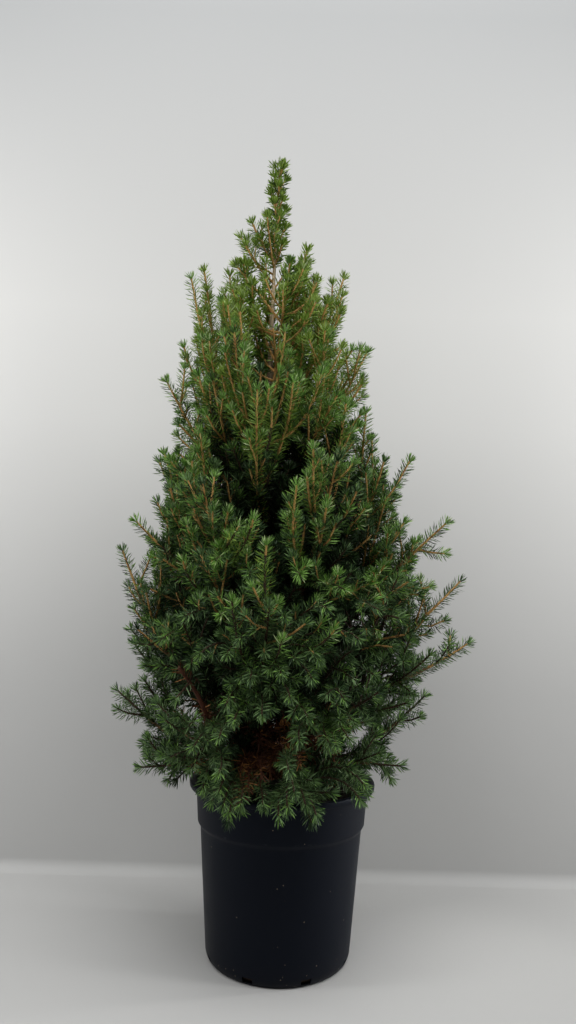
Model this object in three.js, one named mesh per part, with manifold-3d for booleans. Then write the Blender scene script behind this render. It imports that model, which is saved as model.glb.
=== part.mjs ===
// A potted dwarf Alberta spruce: a black nursery container filled with potting soil, one upright trunk, and
// a cone of rising boughs, each ending in its own mass of needled shoots.
// Millimetres, +Z up. The origin is the middle of the pot's flat underside; +X is the right-hand side.
import * as THREE from 'three';
import { mergeVertices } from 'three/addons/utils/BufferGeometryUtils.js';
import Module from 'manifold-3d';

const wasm = await Module();
wasm.setup();

// Driving dimensions
const TOTAL_HEIGHT = 1076;
const POT_HEIGHT = 222;
const POT_LIP_RADIUS = 122;
const POT_FOOT_RADIUS = 88;
const POT_WALL = 2.4;
const SOIL_BELOW_LIP = 19;
const TRUNK_X = -31;
const TRUNK_FOOT_RADIUS = 12;
const TRUNK_TIP_RADIUS = 1.2;
const CLEARANCE = 0.3;

const SOIL_TOP = POT_HEIGHT - SOIL_BELOW_LIP;
const TRUNK_FOOT = SOIL_TOP + CLEARANCE;
const LEADER_FOOT = 0.8358 * TOTAL_HEIGHT;
const UP = new THREE.Vector3(0, 0, 1);
const GOLDEN_ANGLE = THREE.MathUtils.degToRad(137.5);

const potPlastic = new THREE.MeshStandardMaterial({ color: 0x17191d, roughness: 0.55, metalness: 0 });
const soilMix = new THREE.MeshStandardMaterial({ color: 0x2c2019, roughness: 1, metalness: 0 });
const bark = new THREE.MeshStandardMaterial({ color: 0x7a5a3e, roughness: 0.9, metalness: 0 });
const needles = new THREE.MeshStandardMaterial({ color: 0x3c5a2a, roughness: 0.7, metalness: 0 });

// The limbs, from the lowest up. Each is given by where its tip stands, seen from the trunk: how far out,
// how high, its bearing (0 is +X, 90 is +Y), and how steeply it leaves the trunk and ends, in degrees above
// level. A limb that stays bare near the trunk has a bough of its own; a short upper one is foliage from the
// trunk on.
const LIMBS = [
  { name: 'front_low_left', reach: 150, tip: 209, bearing: 258, leaves: 16, ends: -42, bough: true },
  { name: 'front_low_right', reach: 160, tip: 208, bearing: 294, leaves: 16, ends: -42, bough: true },
  { name: 'back_low', reach: 170, tip: 245, bearing: 92, leaves: 18, ends: 2, bough: true },
  { name: 'right_low', reach: 190, tip: 255, bearing: -16, leaves: 16, ends: 2, bough: true },
  { name: 'left_low', reach: 160, tip: 241, bearing: 196, leaves: 16, ends: 0, bough: true },
  { name: 'left_spreading', reach: 201, tip: 330, bearing: 174, leaves: 12, ends: 38, bough: true },
  { name: 'right_spreading', reach: 228, tip: 333, bearing: 8, leaves: 4, ends: 44, bough: true },
  { name: 'front_spreading_left', reach: 190, tip: 323, bearing: 236, leaves: 20, ends: 30, bough: true },
  { name: 'back_spreading_right', reach: 210, tip: 350, bearing: 52, leaves: 16, ends: 36, bough: true },
  { name: 'front_spreading_right', reach: 190, tip: 357, bearing: 318, leaves: 14, ends: 36, bough: true },
  { name: 'back_spreading_left', reach: 208, tip: 395, bearing: 130, leaves: 20, ends: 42, bough: true },
  { name: 'right_long', reach: 270, tip: 408, bearing: -6, leaves: 12, ends: 38, bough: true },
  { name: 'left_short', reach: 176, tip: 417, bearing: 205, leaves: 26, ends: 40, bough: true },
  { name: 'front_middle', reach: 190, tip: 457, bearing: 273, leaves: 28, ends: 52, bough: true },
  { name: 'right_longest', reach: 273, tip: 494, bearing: 6, leaves: 20, ends: 48, bough: true },
  { name: 'left_long', reach: 206, tip: 524, bearing: 172, leaves: 22, ends: 66, bough: true },
  { name: 'back_middle', reach: 200, tip: 505, bearing: 90, leaves: 26, ends: 56, bough: true },
  { name: 'left_middle', reach: 180, tip: 557, bearing: 192, leaves: 32, ends: 46, bough: true },
  { name: 'right_middle', reach: 240, tip: 565, bearing: -12, leaves: 32, ends: 44, bough: true },
  { name: 'front_rising_left', reach: 158, tip: 595, bearing: 240, leaves: 38, ends: 70, bough: true },
  { name: 'front_rising_right', reach: 148, tip: 633, bearing: 305, leaves: 38, ends: 70, bough: true },
  { name: 'back_rising_right', reach: 165, tip: 615, bearing: 50, leaves: 35, ends: 66, bough: true },
  { name: 'left_rising', reach: 146, tip: 655, bearing: 180, leaves: 40, ends: 72, bough: true },
  { name: 'right_rising', reach: 198, tip: 661, bearing: 8, leaves: 38, ends: 62, bough: true },
  { name: 'back_upper', reach: 145, tip: 695, bearing: 118, leaves: 44, ends: 70, bough: false },
  { name: 'left_upper', reach: 145, tip: 751, bearing: 186, leaves: 42, ends: 62, bough: false },
  { name: 'front_upper', reach: 100, tip: 747, bearing: 262, leaves: 52, ends: 78, bough: false },
  { name: 'right_upper', reach: 132, tip: 801, bearing: -4, leaves: 46, ends: 66, bough: false },
  { name: 'back_top', reach: 88, tip: 820, bearing: 78, leaves: 56, ends: 76, bough: false },
  { name: 'left_top', reach: 118, tip: 899, bearing: 184, leaves: 54, ends: 78, bough: false },
  { name: 'right_top', reach: 100, tip: 916, bearing: 8, leaves: 56, ends: 74, bough: false },
  { name: 'front_top', reach: 54, tip: 910, bearing: 296, leaves: 66, ends: 80, bough: false },
];

// How a limb grows
const PATH_STEP = 6;
const LIMB_WAVER = 0.22;
const LIMB_TIP_RADIUS = 1.4;
const LIMB_SLENDERNESS = 62;
const BARE_SHARE = 0.3;

// How twigs branch from the stem of a mass
const TWIG_GAP = 24;
const TWIG_FIRST = 9;
const TWIG_LAST = 26;
const TWIG_SPREAD = THREE.MathUtils.degToRad(60);
const TWIG_LENGTH_SHARE = 0.4;
const TWIG_SHORTEST = 32;
const TWIG_LONGEST = 110;
const TWIG_WAVER = 0.3;
const HANGING_SHARE = 0.72;

// The needles on a twig, and the room that a mass keeps
const TWIG_FOOT_RADIUS = 1.4;
const TWIG_CORE_RADIUS = 3.4;
const NEEDLE_REACH = 13;
const WHORL_GAP = 17;
const WHORL_TURN = -Math.PI / 3;
const WHORL_BACK = 0.6;
const LEAST_ROOM = 3.6;
const RIM_ROOM = 4;

// A seeded stream of numbers between 0 and 1.
function seededStream(seed) {
  let state = (seed * 2654435761) >>> 0;
  const next = () => {
    state = (Math.imul(state, 1664525) + 1013904223) >>> 0;
    return state / 4294967296;
  };
  next();
  next();
  return next;
}

// A path that sets off along `heading` and is drawn towards `pull` more and more, with a seeded waver.
function growPath(start, heading, pull, length, waver, random) {
  const drift = new THREE.Vector3(random() - 0.5, random() - 0.5, random() - 0.5).multiplyScalar(waver);
  const count = Math.max(4, Math.round(length / PATH_STEP));
  const points = [start.clone()];
  for (let i = 0; i < count; i += 1) {
    const share = (i + 0.5) / count;
    const direction = heading.clone().addScaledVector(pull, share);
    direction.addScaledVector(drift, Math.sin(2 * Math.PI * share)).normalize();
    points.push(points[i].clone().addScaledVector(direction, length / count));
  }
  return { points, length };
}

function pointAt(path, distance) {
  const steps = path.points.length - 1;
  const place = THREE.MathUtils.clamp((distance / path.length) * steps, 0, steps);
  const index = Math.min(Math.floor(place), steps - 1);
  return path.points[index].clone().lerp(path.points[index + 1], place - index);
}

function directionAt(path, distance) {
  const half = PATH_STEP / 2;
  return pointAt(path, distance + half).sub(pointAt(path, distance - half)).normalize();
}

// The direction square to `along`, turned round it by `turn` from the level one.
function squareTo(along, turn) {
  const reference = Math.abs(along.z) > 0.95 ? new THREE.Vector3(1, 0, 0) : UP;
  const level = along.clone().cross(reference).normalize();
  const over = level.clone().cross(along);
  return level.multiplyScalar(Math.cos(turn)).addScaledVector(over, Math.sin(turn));
}

function distanceToPath(point, path) {
  return Math.min(...path.points.map((other) => other.distanceTo(point)));
}

// The trunk: its place and radius at a height. It stands left of the pot's middle, wavers a little, tapers
// faster near its foot than above, and flares out where the roots begin.
const TRUNK_WAVER = 2.5;
const TRUNK_TAPER = 1.3;
const FLARE = 6;
const FLARE_HEIGHT = 14;

function trunkPoint(height) {
  const share = (height - TRUNK_FOOT) / (TOTAL_HEIGHT - TRUNK_FOOT);
  const x = TRUNK_X + TRUNK_WAVER * Math.sin(7 * share);
  const y = 0.8 * TRUNK_WAVER * Math.sin(9 * share);
  return new THREE.Vector3(x, y, height);
}

function trunkRadius(height) {
  const above = (height - TRUNK_FOOT) / (TOTAL_HEIGHT - TRUNK_FOOT);
  const taper = Math.pow(1 - Math.min(above, 1), TRUNK_TAPER);
  const flare = FLARE * Math.exp(-(height - TRUNK_FOOT) / FLARE_HEIGHT);
  return TRUNK_TIP_RADIUS + (TRUNK_FOOT_RADIUS - TRUNK_TIP_RADIUS) * taper + flare;
}

// A limb's path. Its length, and where it leaves the trunk, follow from where its tip stands.
const TRIAL_LENGTH = 300;

function limbPath(limb, index) {
  const bearing = THREE.MathUtils.degToRad(limb.bearing);
  const leaves = THREE.MathUtils.degToRad(limb.leaves);
  const lift = Math.cos(leaves) * Math.tan(THREE.MathUtils.degToRad(limb.ends)) - Math.sin(leaves);
  const heading = new THREE.Vector3(
    Math.cos(bearing) * Math.cos(leaves),
    Math.sin(bearing) * Math.cos(leaves),
    Math.sin(leaves),
  );
  const pull = UP.clone().multiplyScalar(lift);
  const trial = growPath(new THREE.Vector3(), heading, pull, TRIAL_LENGTH, 0, () => 0.5).points.at(-1);
  const scale = limb.reach / Math.hypot(trial.x, trial.y);
  const length = scale * TRIAL_LENGTH;
  const foot = trunkPoint(limb.tip - scale * trial.z);
  const path = growPath(foot, heading, pull, length, LIMB_WAVER, seededStream(index + 1));
  return { ...path, lift, foot: foot.z, bareTo: limb.bough ? BARE_SHARE * length : 0 };
}

function limbRadius(path, distance) {
  const footRadius = path.length / LIMB_SLENDERNESS;
  const toTip = Math.max(0, 1 - distance / path.length);
  return LIMB_TIP_RADIUS + (footRadius - LIMB_TIP_RADIUS) * toTip;
}

// A closed solid from a three.js geometry, with its shared corners merged.
function solidFrom(geometry) {
  const bare = geometry.clone();
  bare.deleteAttribute('normal');
  bare.deleteAttribute('uv');
  const merged = mergeVertices(bare, 1e-4);
  const corners = merged.index.array;
  const kept = [];
  for (let i = 0; i < corners.length; i += 3) {
    const [a, b, c] = corners.slice(i, i + 3);
    if (a !== b && b !== c && c !== a) kept.push(a, b, c);
  }
  const vertProperties = new Float32Array(merged.attributes.position.array);
  const triVerts = new Uint32Array(kept);
  return new wasm.Manifold(new wasm.Mesh({ numProp: 3, vertProperties, triVerts }));
}

// A named mesh from a solid, shaded flat.
function meshFrom(name, solid, material) {
  const { numProp, vertProperties, triVerts } = solid.getMesh();
  const positions = new Float32Array(triVerts.length * 3);
  triVerts.forEach((vertex, i) => {
    positions.set(vertProperties.subarray(vertex * numProp, vertex * numProp + 3), i * 3);
  });
  const geometry = new THREE.BufferGeometry();
  geometry.setAttribute('position', new THREE.BufferAttribute(positions, 3));
  geometry.computeVertexNormals();
  const mesh = new THREE.Mesh(geometry, material);
  mesh.name = name;
  return mesh;
}

// A cylinder bent along a row of ring centres. Each ring lies square to its own heading, may be turned, and
// has its own radius, which may change round the ring.
function bentCylinder(centres, headings, radiusOf, sides, turnOf = () => 0) {
  const rings = centres.length - 1;
  let across = new THREE.Vector3(1, 0, 0);
  if (Math.abs(headings[0].x) > 0.8) across = new THREE.Vector3(0, 1, 0);
  const frames = headings.map((along) => {
    across = across.clone().addScaledVector(along, -across.dot(along)).normalize();
    return { across, aside: across.clone().cross(along) };
  });
  const geometry = new THREE.CylinderGeometry(1, 1, 1, sides, rings);
  const place = geometry.attributes.position;
  for (let i = 0; i < place.count; i += 1) {
    const ring = Math.round((place.getY(i) + 0.5) * rings);
    const onAxis = Math.hypot(place.getX(i), place.getZ(i)) < 0.5;
    const angle = Math.atan2(place.getX(i), place.getZ(i)) + turnOf(ring);
    const radius = onAxis ? 0 : radiusOf(ring, angle);
    const point = centres[ring].clone();
    point.addScaledVector(frames[ring].across, radius * Math.sin(angle));
    point.addScaledVector(frames[ring].aside, radius * Math.cos(angle));
    place.setXYZ(i, point.x, point.y, point.z);
  }
  return solidFrom(geometry);
}

// A stretch of a limb, from one distance along its path to another.
function limbSolid(path, from, to, count, sides, radiusAt) {
  const distances = Array.from({ length: count + 1 }, (_, i) => from + ((to - from) * i) / count);
  const centres = distances.map((distance) => pointAt(path, distance));
  const headings = distances.map((distance) => directionAt(path, distance));
  return bentCylinder(centres, headings, (ring) => radiusAt(distances[ring]), sides);
}

// The container: a lathed shell with a bevelled foot, a wider band under the rim and a flared lip.
const FOOT_BEVEL = 9;
const BODY_FOOT_RADIUS = POT_FOOT_RADIUS + 5.5;
const BAND_FOOT = 171;
const BAND_STEP = 4;
const BAND_RADIUS = 109.4;
const BAND_TOP_RADIUS = 112.2;
const LIP_HEIGHT = 8;
const LIP_WIDTH = 8;
const POT_SEGMENTS = 32;
const DRAIN_SLOTS = 8;
const DRAIN_SLOT = { depth: 22, width: 13, height: 7, foot: 3 };

// The wall's corners from the foot bevel up to just under the lip, as radius and height.
const WALL = [
  [BODY_FOOT_RADIUS, FOOT_BEVEL],
  [BAND_RADIUS - BAND_STEP, BAND_FOOT - 2 * BAND_STEP],
  [BAND_RADIUS, BAND_FOOT],
  [BAND_TOP_RADIUS, POT_HEIGHT - LIP_HEIGHT - 3],
];
const INNER_WALL = WALL.map(([radius, height]) => [radius - POT_WALL, height]);

function lathe(profile) {
  const points = profile.map(([radius, height]) => new THREE.Vector2(radius, height));
  return solidFrom(new THREE.LatheGeometry(points, POT_SEGMENTS).rotateX(Math.PI / 2));
}

function pot() {
  const lip = [
    [POT_LIP_RADIUS - 1, POT_HEIGHT - LIP_HEIGHT],
    [POT_LIP_RADIUS, POT_HEIGHT - 1.5],
    [POT_LIP_RADIUS - 2, POT_HEIGHT],
    [POT_LIP_RADIUS - LIP_WIDTH, POT_HEIGHT],
  ];
  const inside = [...INNER_WALL].reverse();
  const floor = [[POT_FOOT_RADIUS - POT_WALL, POT_WALL], [0, POT_WALL]];
  let shell = lathe([[0, 0], [POT_FOOT_RADIUS, 0], ...WALL, ...lip, ...inside, ...floor]);
  for (let i = 0; i < DRAIN_SLOTS; i += 1) {
    const slot = new THREE.BoxGeometry(DRAIN_SLOT.depth, DRAIN_SLOT.width, DRAIN_SLOT.height);
    slot.translate(BODY_FOOT_RADIUS, 0, DRAIN_SLOT.foot + DRAIN_SLOT.height / 2);
    slot.rotateZ(((i + 0.5) * 2 * Math.PI) / DRAIN_SLOTS);
    shell = shell.subtract(solidFrom(slot));
  }
  return meshFrom('pot', shell, potPlastic);
}

// The soil fills the pot up to a little below the lip, where it slopes up from the wall to a level top.
const SOIL_SLOPE = 5;

function soil() {
  const foot = POT_WALL + CLEARANCE;
  const fitted = INNER_WALL.slice(0, 3).map(([radius, height]) => [radius - 1.5 * CLEARANCE, height]);
  const edge = BAND_TOP_RADIUS - POT_WALL - 4 * CLEARANCE;
  const top = [[edge, SOIL_TOP - SOIL_SLOPE], [edge - 4 * SOIL_SLOPE, SOIL_TOP], [0, SOIL_TOP]];
  const floor = [[0, foot], [POT_FOOT_RADIUS - 2 * POT_WALL, foot]];
  return meshFrom('potting_soil', lathe([...floor, ...fitted, ...top]), soilMix);
}

// The trunk's solid, `grown` outwards by that much, with five root flutes that fade out above its foot.
const FLUTE_DEPTH = 0.14;
const TRUNK_RINGS = 13;

function trunkSolid(grown) {
  const heights = [0, 8, 20, 45, 90].map((height) => TRUNK_FOOT + height);
  const fluted = heights.at(-1);
  for (let i = 1; i <= TRUNK_RINGS; i += 1) {
    heights.push(fluted + ((LEADER_FOOT - fluted) * i) / TRUNK_RINGS);
  }
  const radiusOf = (ring, angle) => {
    const fade = Math.exp(-(heights[ring] - TRUNK_FOOT) / FLARE_HEIGHT);
    return trunkRadius(heights[ring]) * (1 + FLUTE_DEPTH * fade * Math.cos(5 * angle + 1)) + grown;
  };
  return bentCylinder(heights.map(trunkPoint), heights.map(() => UP), radiusOf, 8);
}

// The trunk's outline with the clearance that everything seated on it keeps.
const trunkSeat = trunkSolid(CLEARANCE);
const limbPaths = LIMBS.map(limbPath);

// The leader: the trunk's own top, which is foliage all the way up.
const LEADER_LIFT = 0.9;

function leaderPath() {
  const length = TOTAL_HEIGHT - LEADER_FOOT - CLEARANCE;
  const points = [];
  const count = Math.round(length / PATH_STEP);
  for (let i = 0; i <= count; i += 1) {
    points.push(trunkPoint(LEADER_FOOT + CLEARANCE + (length * i) / count));
  }
  return { points, length, lift: LEADER_LIFT, foot: LEADER_FOOT, bareTo: 0 };
}

const LEADER = LIMBS.length;
const spines = [...limbPaths, leaderPath()];

// How far a mass may reach round a point: it keeps to the space that lies nearer to its own stem than to any
// other, and off the trunk and the pot.
function roomAt(point, own) {
  const overRim = Math.max(Math.hypot(point.x, point.y) - POT_LIP_RADIUS, point.z - POT_HEIGHT) - RIM_ROOM;
  const offTrunk = trunkPoint(point.z).distanceTo(point) - trunkRadius(point.z);
  const ownDistance = distanceToPath(point, spines[own]);
  const others = spines.filter((spine, i) => i !== own);
  const offOthers = others.map((spine) => (distanceToPath(point, spine) - ownDistance) / 2);
  return Math.min(overRim, Math.max(offTrunk, point.z - LEADER_FOOT), ...offOthers) - CLEARANCE;
}

// The twigs of one mass: they leave the stem one by one, turned by the golden angle, shorter towards its tip
// and where they set off downwards.
function twigPaths(own) {
  const stem = spines[own];
  const random = seededStream(101 + own);
  const twigs = [];
  const longest = THREE.MathUtils.clamp(TWIG_LENGTH_SHARE * stem.length, 1.4 * TWIG_SHORTEST, TWIG_LONGEST);
  const pull = UP.clone().multiplyScalar(stem.lift < 0 ? -0.2 : Math.max(0.15, 0.9 * stem.lift));
  const first = TWIG_FIRST + (stem.bareTo || trunkRadius(stem.foot));
  let turn = 2 * Math.PI * random();
  for (let at = first; at < stem.length - TWIG_LAST; at += TWIG_GAP * (0.8 + 0.4 * random())) {
    turn += GOLDEN_ANGLE;
    const out = squareTo(directionAt(stem, at), turn);
    const heading = directionAt(stem, at).multiplyScalar(Math.cos(TWIG_SPREAD));
    heading.addScaledVector(out, Math.sin(TWIG_SPREAD));
    const toTip = (at - stem.bareTo) / (stem.length - stem.bareTo);
    const hanging = out.z < -0.3 ? HANGING_SHARE : 1;
    const length = (longest + (TWIG_SHORTEST - longest) * toTip) * (0.82 + 0.36 * random()) * hanging;
    twigs.push(growPath(pointAt(stem, at), heading, pull, length, TWIG_WAVER, random));
  }
  return twigs;
}

// A twig kept up to where it would leave its mass's own space, or null if too little is left.
function keptTwig(twig, own) {
  let kept = 0;
  while (kept < twig.points.length - 1 && roomAt(twig.points[kept + 1], own) > LEAST_ROOM) kept += 1;
  const length = (twig.length * kept) / (twig.points.length - 1);
  if (length < TWIG_SHORTEST * 0.7) return null;
  return { points: twig.points.slice(0, kept + 1), length };
}

// A spray of needles: a slim three-sided core with whorls of three forward-pointing teeth, each tooth
// standing for a small bunch of needles. Every whorl is turned by a sixth, with shorter teeth in less room.
function spray(path, bareRings, coreRadius, own) {
  const foot = bareRings.at(-1).at;
  const whorls = Math.max(1, Math.round((path.length - foot) / WHORL_GAP - 0.5));
  const gap = (path.length - foot) / (whorls + 0.8);
  const rings = bareRings.map((ring) => ({ ...ring, turn: 0 }));
  for (let i = 1; i <= whorls; i += 1) {
    const at = foot + i * gap;
    const core = coreRadius(at);
    const reach = Math.min(NEEDLE_REACH, roomAt(pointAt(path, at), own));
    const turn = i * WHORL_TURN;
    rings.push({ at, radius: Math.max(core + 0.5, reach), turn });
    rings.push({ at: at + WHORL_BACK, radius: core, turn });
  }
  rings.push({ at: path.length, radius: 0, turn: whorls * WHORL_TURN });
  const centres = rings.map((ring) => pointAt(path, ring.at));
  const headings = rings.map((ring) => directionAt(path, ring.at));
  return bentCylinder(centres, headings, (ring) => rings[ring].radius, 3, (ring) => rings[ring].turn);
}

// A mass of foliage: its stem and the twigs, each clad in needles, joined into one solid.
function foliage(name, own) {
  const stem = spines[own];
  const from = stem.bareTo ? stem.bareTo + CLEARANCE : 0;
  const stemRadius = (at) => (own === LEADER ? trunkRadius(stem.foot + at) : limbRadius(stem, at));
  const stemRings = [0, 1 / 3, 2 / 3, 1].map((share) => {
    const at = from + share * (stem.length - TWIG_LAST - from);
    return { at, radius: stemRadius(at) };
  });
  const pieces = [spray(stem, stemRings, stemRadius, own)];
  for (const twig of twigPaths(own)) {
    const kept = keptTwig(twig, own);
    if (kept) {
      const core = (at) => TWIG_CORE_RADIUS * (1 - (0.5 * at) / kept.length);
      pieces.push(spray(kept, [{ at: 0, radius: TWIG_FOOT_RADIUS }], core, own));
    }
  }
  let joined = pieces.reduce((whole, piece) => whole.add(piece));
  if (!stem.bareTo && own !== LEADER) joined = joined.subtract(trunkSeat);
  return meshFrom(name, joined, needles);
}

// A bough: the bare part of a limb, from its seat on the trunk to where its foliage begins.
function bough(limb, index) {
  const path = limbPaths[index];
  const solid = limbSolid(path, 0, path.bareTo, 2, 5, (distance) => limbRadius(path, distance));
  return meshFrom(`bough_${limb.name}`, solid.subtract(trunkSeat), bark);
}

const spruce = new THREE.Group();
spruce.add(pot(), soil(), meshFrom('trunk', trunkSolid(0), bark));
LIMBS.forEach((limb, index) => {
  if (limb.bough) spruce.add(bough(limb, index));
  spruce.add(foliage(`foliage_${limb.name}`, index));
});
spruce.add(foliage('foliage_leader', LEADER));

export default spruce;
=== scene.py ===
import math
import bpy
import numpy as np
from mathutils import Matrix, Vector, noise


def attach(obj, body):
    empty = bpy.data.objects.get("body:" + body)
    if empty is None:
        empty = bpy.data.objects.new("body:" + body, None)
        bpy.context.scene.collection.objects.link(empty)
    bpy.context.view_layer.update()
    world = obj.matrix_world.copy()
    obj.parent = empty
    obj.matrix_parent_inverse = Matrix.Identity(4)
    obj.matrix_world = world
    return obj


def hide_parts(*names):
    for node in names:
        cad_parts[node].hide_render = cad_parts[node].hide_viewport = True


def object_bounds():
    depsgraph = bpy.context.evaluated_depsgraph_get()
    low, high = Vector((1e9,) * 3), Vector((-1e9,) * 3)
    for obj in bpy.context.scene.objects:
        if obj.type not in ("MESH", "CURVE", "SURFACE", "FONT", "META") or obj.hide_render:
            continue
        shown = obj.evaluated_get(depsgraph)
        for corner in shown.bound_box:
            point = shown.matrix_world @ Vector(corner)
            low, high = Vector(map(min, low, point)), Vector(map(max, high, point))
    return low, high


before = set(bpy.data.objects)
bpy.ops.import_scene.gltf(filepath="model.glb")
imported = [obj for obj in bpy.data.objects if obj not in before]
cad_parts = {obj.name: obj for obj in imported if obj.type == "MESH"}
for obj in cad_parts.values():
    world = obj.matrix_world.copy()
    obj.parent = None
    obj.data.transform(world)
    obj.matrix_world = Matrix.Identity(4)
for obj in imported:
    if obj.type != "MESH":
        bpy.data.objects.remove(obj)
cad_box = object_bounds()

# The nursery pot: one thin shell of black polypropylene, injection moulded in one shot. A wider band under
# the rim stiffens the wall, the lip is turned outwards, and eight drain slots pierce the foot of the wall.
# Its moulded skin is fine grained, half matt and dusty near the foot. The lip's top and the band's lower edge
# are lighter, partly scuffed and partly a painted highlight of the light on those edges.
POT_ROUND = 176
POT_WALL = 0.0024
POT_LIP_RADIUS = 0.122
POT_HEIGHT = 0.222
POT_WARP = 0.0003
WARP_FULL_AT = 0.1
WARP_ENDS_AT = 0.212
DRAIN_SLOTS = 8
DRAIN_SLOT_FACES = 4
DRAIN_SLOT_RINGS = 2
WALL_FOOT = (0.0938, 0.0135)
WALL_HEAD = (0.1053, 0.1620)
BAND_FOOT = (0.1094, 0.1718)
BAND_HEAD = (0.1121, 0.2085)
pot_foot = [(0.0, 0.0), (0.030, 0.0), (0.060, 0.0), (0.0868, 0.0), (0.0888, 0.0007)]
drain_rows = [(0.0908, 0.0030), (0.0925, 0.0065), (0.0935, 0.0100)]
BAND_STEP_AT = 0.1708
band_step = [(0.1055, 0.1640), (0.1061, 0.1655), (0.1085, 0.1688), (0.1092, 0.1701)]
lip_rows = [
    (0.1125, 0.2108), (0.1140, 0.2122), (0.1184, 0.2130), (0.1206, 0.2137), (0.1214, 0.2150),
    (0.1219, 0.2178), (0.1220, 0.2200), (0.1215, 0.2213), (0.1204, 0.2220), (0.1180, 0.2220),
    (0.1154, 0.2218), (0.1142, 0.2210), (0.1126, 0.2180), (0.1110, 0.2140), (0.1099, 0.2105),
]


def straight_rows(low, high, count):
    """Rows up a straight wall, as radius and height, both ends included."""
    return [tuple(np.array(low) + (np.array(high) - np.array(low)) * i / count) for i in range(count + 1)]


def joined_mesh(name, points, faces, smooth_angle=None):
    """A piece from points and faces. Faces that meet at less than the angle are shaded as one."""
    mesh = bpy.data.meshes.new(name)
    mesh.from_pydata(points, [], faces)
    mesh.validate()
    if smooth_angle is not None:
        mesh.shade_smooth()
        mesh.set_sharp_from_angle(angle=math.radians(smooth_angle))
    piece = bpy.data.objects.new(name, mesh)
    bpy.context.collection.objects.link(piece)
    return piece


def finish_piece(piece, material, slot, *nodes):
    """Gives a piece its material and says what it rides on and stands for; its slot is not used."""
    piece.data.materials.append(material)
    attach(piece, "root")
    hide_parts(*nodes)


def new_material(name, roughness, specular):
    """A new material, with its node tree and its Principled shader."""
    material = bpy.data.materials.new(name)
    material.use_nodes = True
    shader = material.node_tree.nodes["Principled BSDF"]
    shader.inputs["Roughness"].default_value = roughness
    shader.inputs["Specular IOR Level"].default_value = specular
    return material, material.node_tree, shader


def fill(tree, socket, value):
    """Gives an input a value, or links it to another node's output."""
    if isinstance(value, bpy.types.NodeSocket):
        tree.links.new(value, socket)
    else:
        socket.default_value = value


def add_node(tree, kind, **values):
    """A node with its settings; a name with a capital letter is one of its inputs."""
    node = tree.nodes.new(kind)
    for name, value in values.items():
        if name[0].isupper():
            fill(tree, node.inputs[name.replace("_", " ")], value)
        else:
            setattr(node, name, value)
    return node


def computed(tree, operation, *terms, kind="ShaderNodeMath", **settings):
    """The result of a math node."""
    node = add_node(tree, kind, operation=operation, **settings)
    for socket, term in zip(node.inputs, terms):
        fill(tree, socket, term)
    return node.outputs[0]


def mixed_colours(tree, mask, low, high):
    """The colour between two, by a mask."""
    mix = add_node(tree, "ShaderNodeMix", data_type="RGBA", Factor=mask)
    for socket, colour in ((6, low), (7, high)):
        fill(tree, mix.inputs[socket], (*colour, 1.0) if isinstance(colour, tuple) else colour)
    return mix.outputs[2]


def mapped(tree, value, low, high, out_low=0.0, out_high=1.0):
    """A value brought from one range into another, and held inside it."""
    return add_node(tree, "ShaderNodeMapRange", Value=value, From_Min=low, From_Max=high,
                    To_Min=out_low, To_Max=out_high).outputs["Result"]


def bumped(tree, shader, height, distance, strength=1.0):
    """A bump from a height, led to the shader's normal."""
    bump = add_node(tree, "ShaderNodeBump", Height=height, Distance=distance, Strength=strength)
    fill(tree, shader.inputs["Normal"], bump.outputs["Normal"])


def object_place(tree):
    """Where a point lies in its object's own space."""
    return add_node(tree, "ShaderNodeTexCoord").outputs["Object"]


def height_of(tree, place):
    return add_node(tree, "ShaderNodeSeparateXYZ", Vector=place).outputs["Z"]


def effect_group(name, inputs, outputs):
    """An empty shader node group, with the sockets of the numbers it is given and of its results."""
    group = bpy.data.node_groups.new(name, "ShaderNodeTree")
    for label, value in inputs.items():
        socket = group.interface.new_socket(label, in_out="INPUT", socket_type="NodeSocketFloat")
        socket.default_value = value
    for label in outputs:
        group.interface.new_socket(label, in_out="OUTPUT", socket_type="NodeSocketFloat")
    return group, group.nodes.new("NodeGroupInput").outputs, group.nodes.new("NodeGroupOutput").inputs


def placed_group(tree, group, **values):
    """The two results of an effect group that is set into a material with its own values."""
    return add_node(tree, "ShaderNodeGroup", node_tree=group, **values).outputs[:2]


# Mottle, used by every finish: broad patches, and fine grain between them, over the object's own space.
mottle, given, results = effect_group(
    "mottle", {"Patch Scale": 30.0, "Grain Scale": 400.0, "Stretch": 1.0}, ("Patches", "Grain"))
squeeze = add_node(mottle, "ShaderNodeCombineXYZ", X=1.0, Y=1.0, Z=given["Stretch"]).outputs["Vector"]
stretched = computed(mottle, "MULTIPLY", object_place(mottle), squeeze, kind="ShaderNodeVectorMath")
for label, scale, detail in (("Patches", "Patch Scale", 4.0), ("Grain", "Grain Scale", 3.0)):
    cloud = add_node(mottle, "ShaderNodeTexNoise", Vector=stretched, Scale=given[scale], Detail=detail,
                     Roughness=0.6)
    fill(mottle, results[label], cloud.outputs["Fac"])

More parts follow.
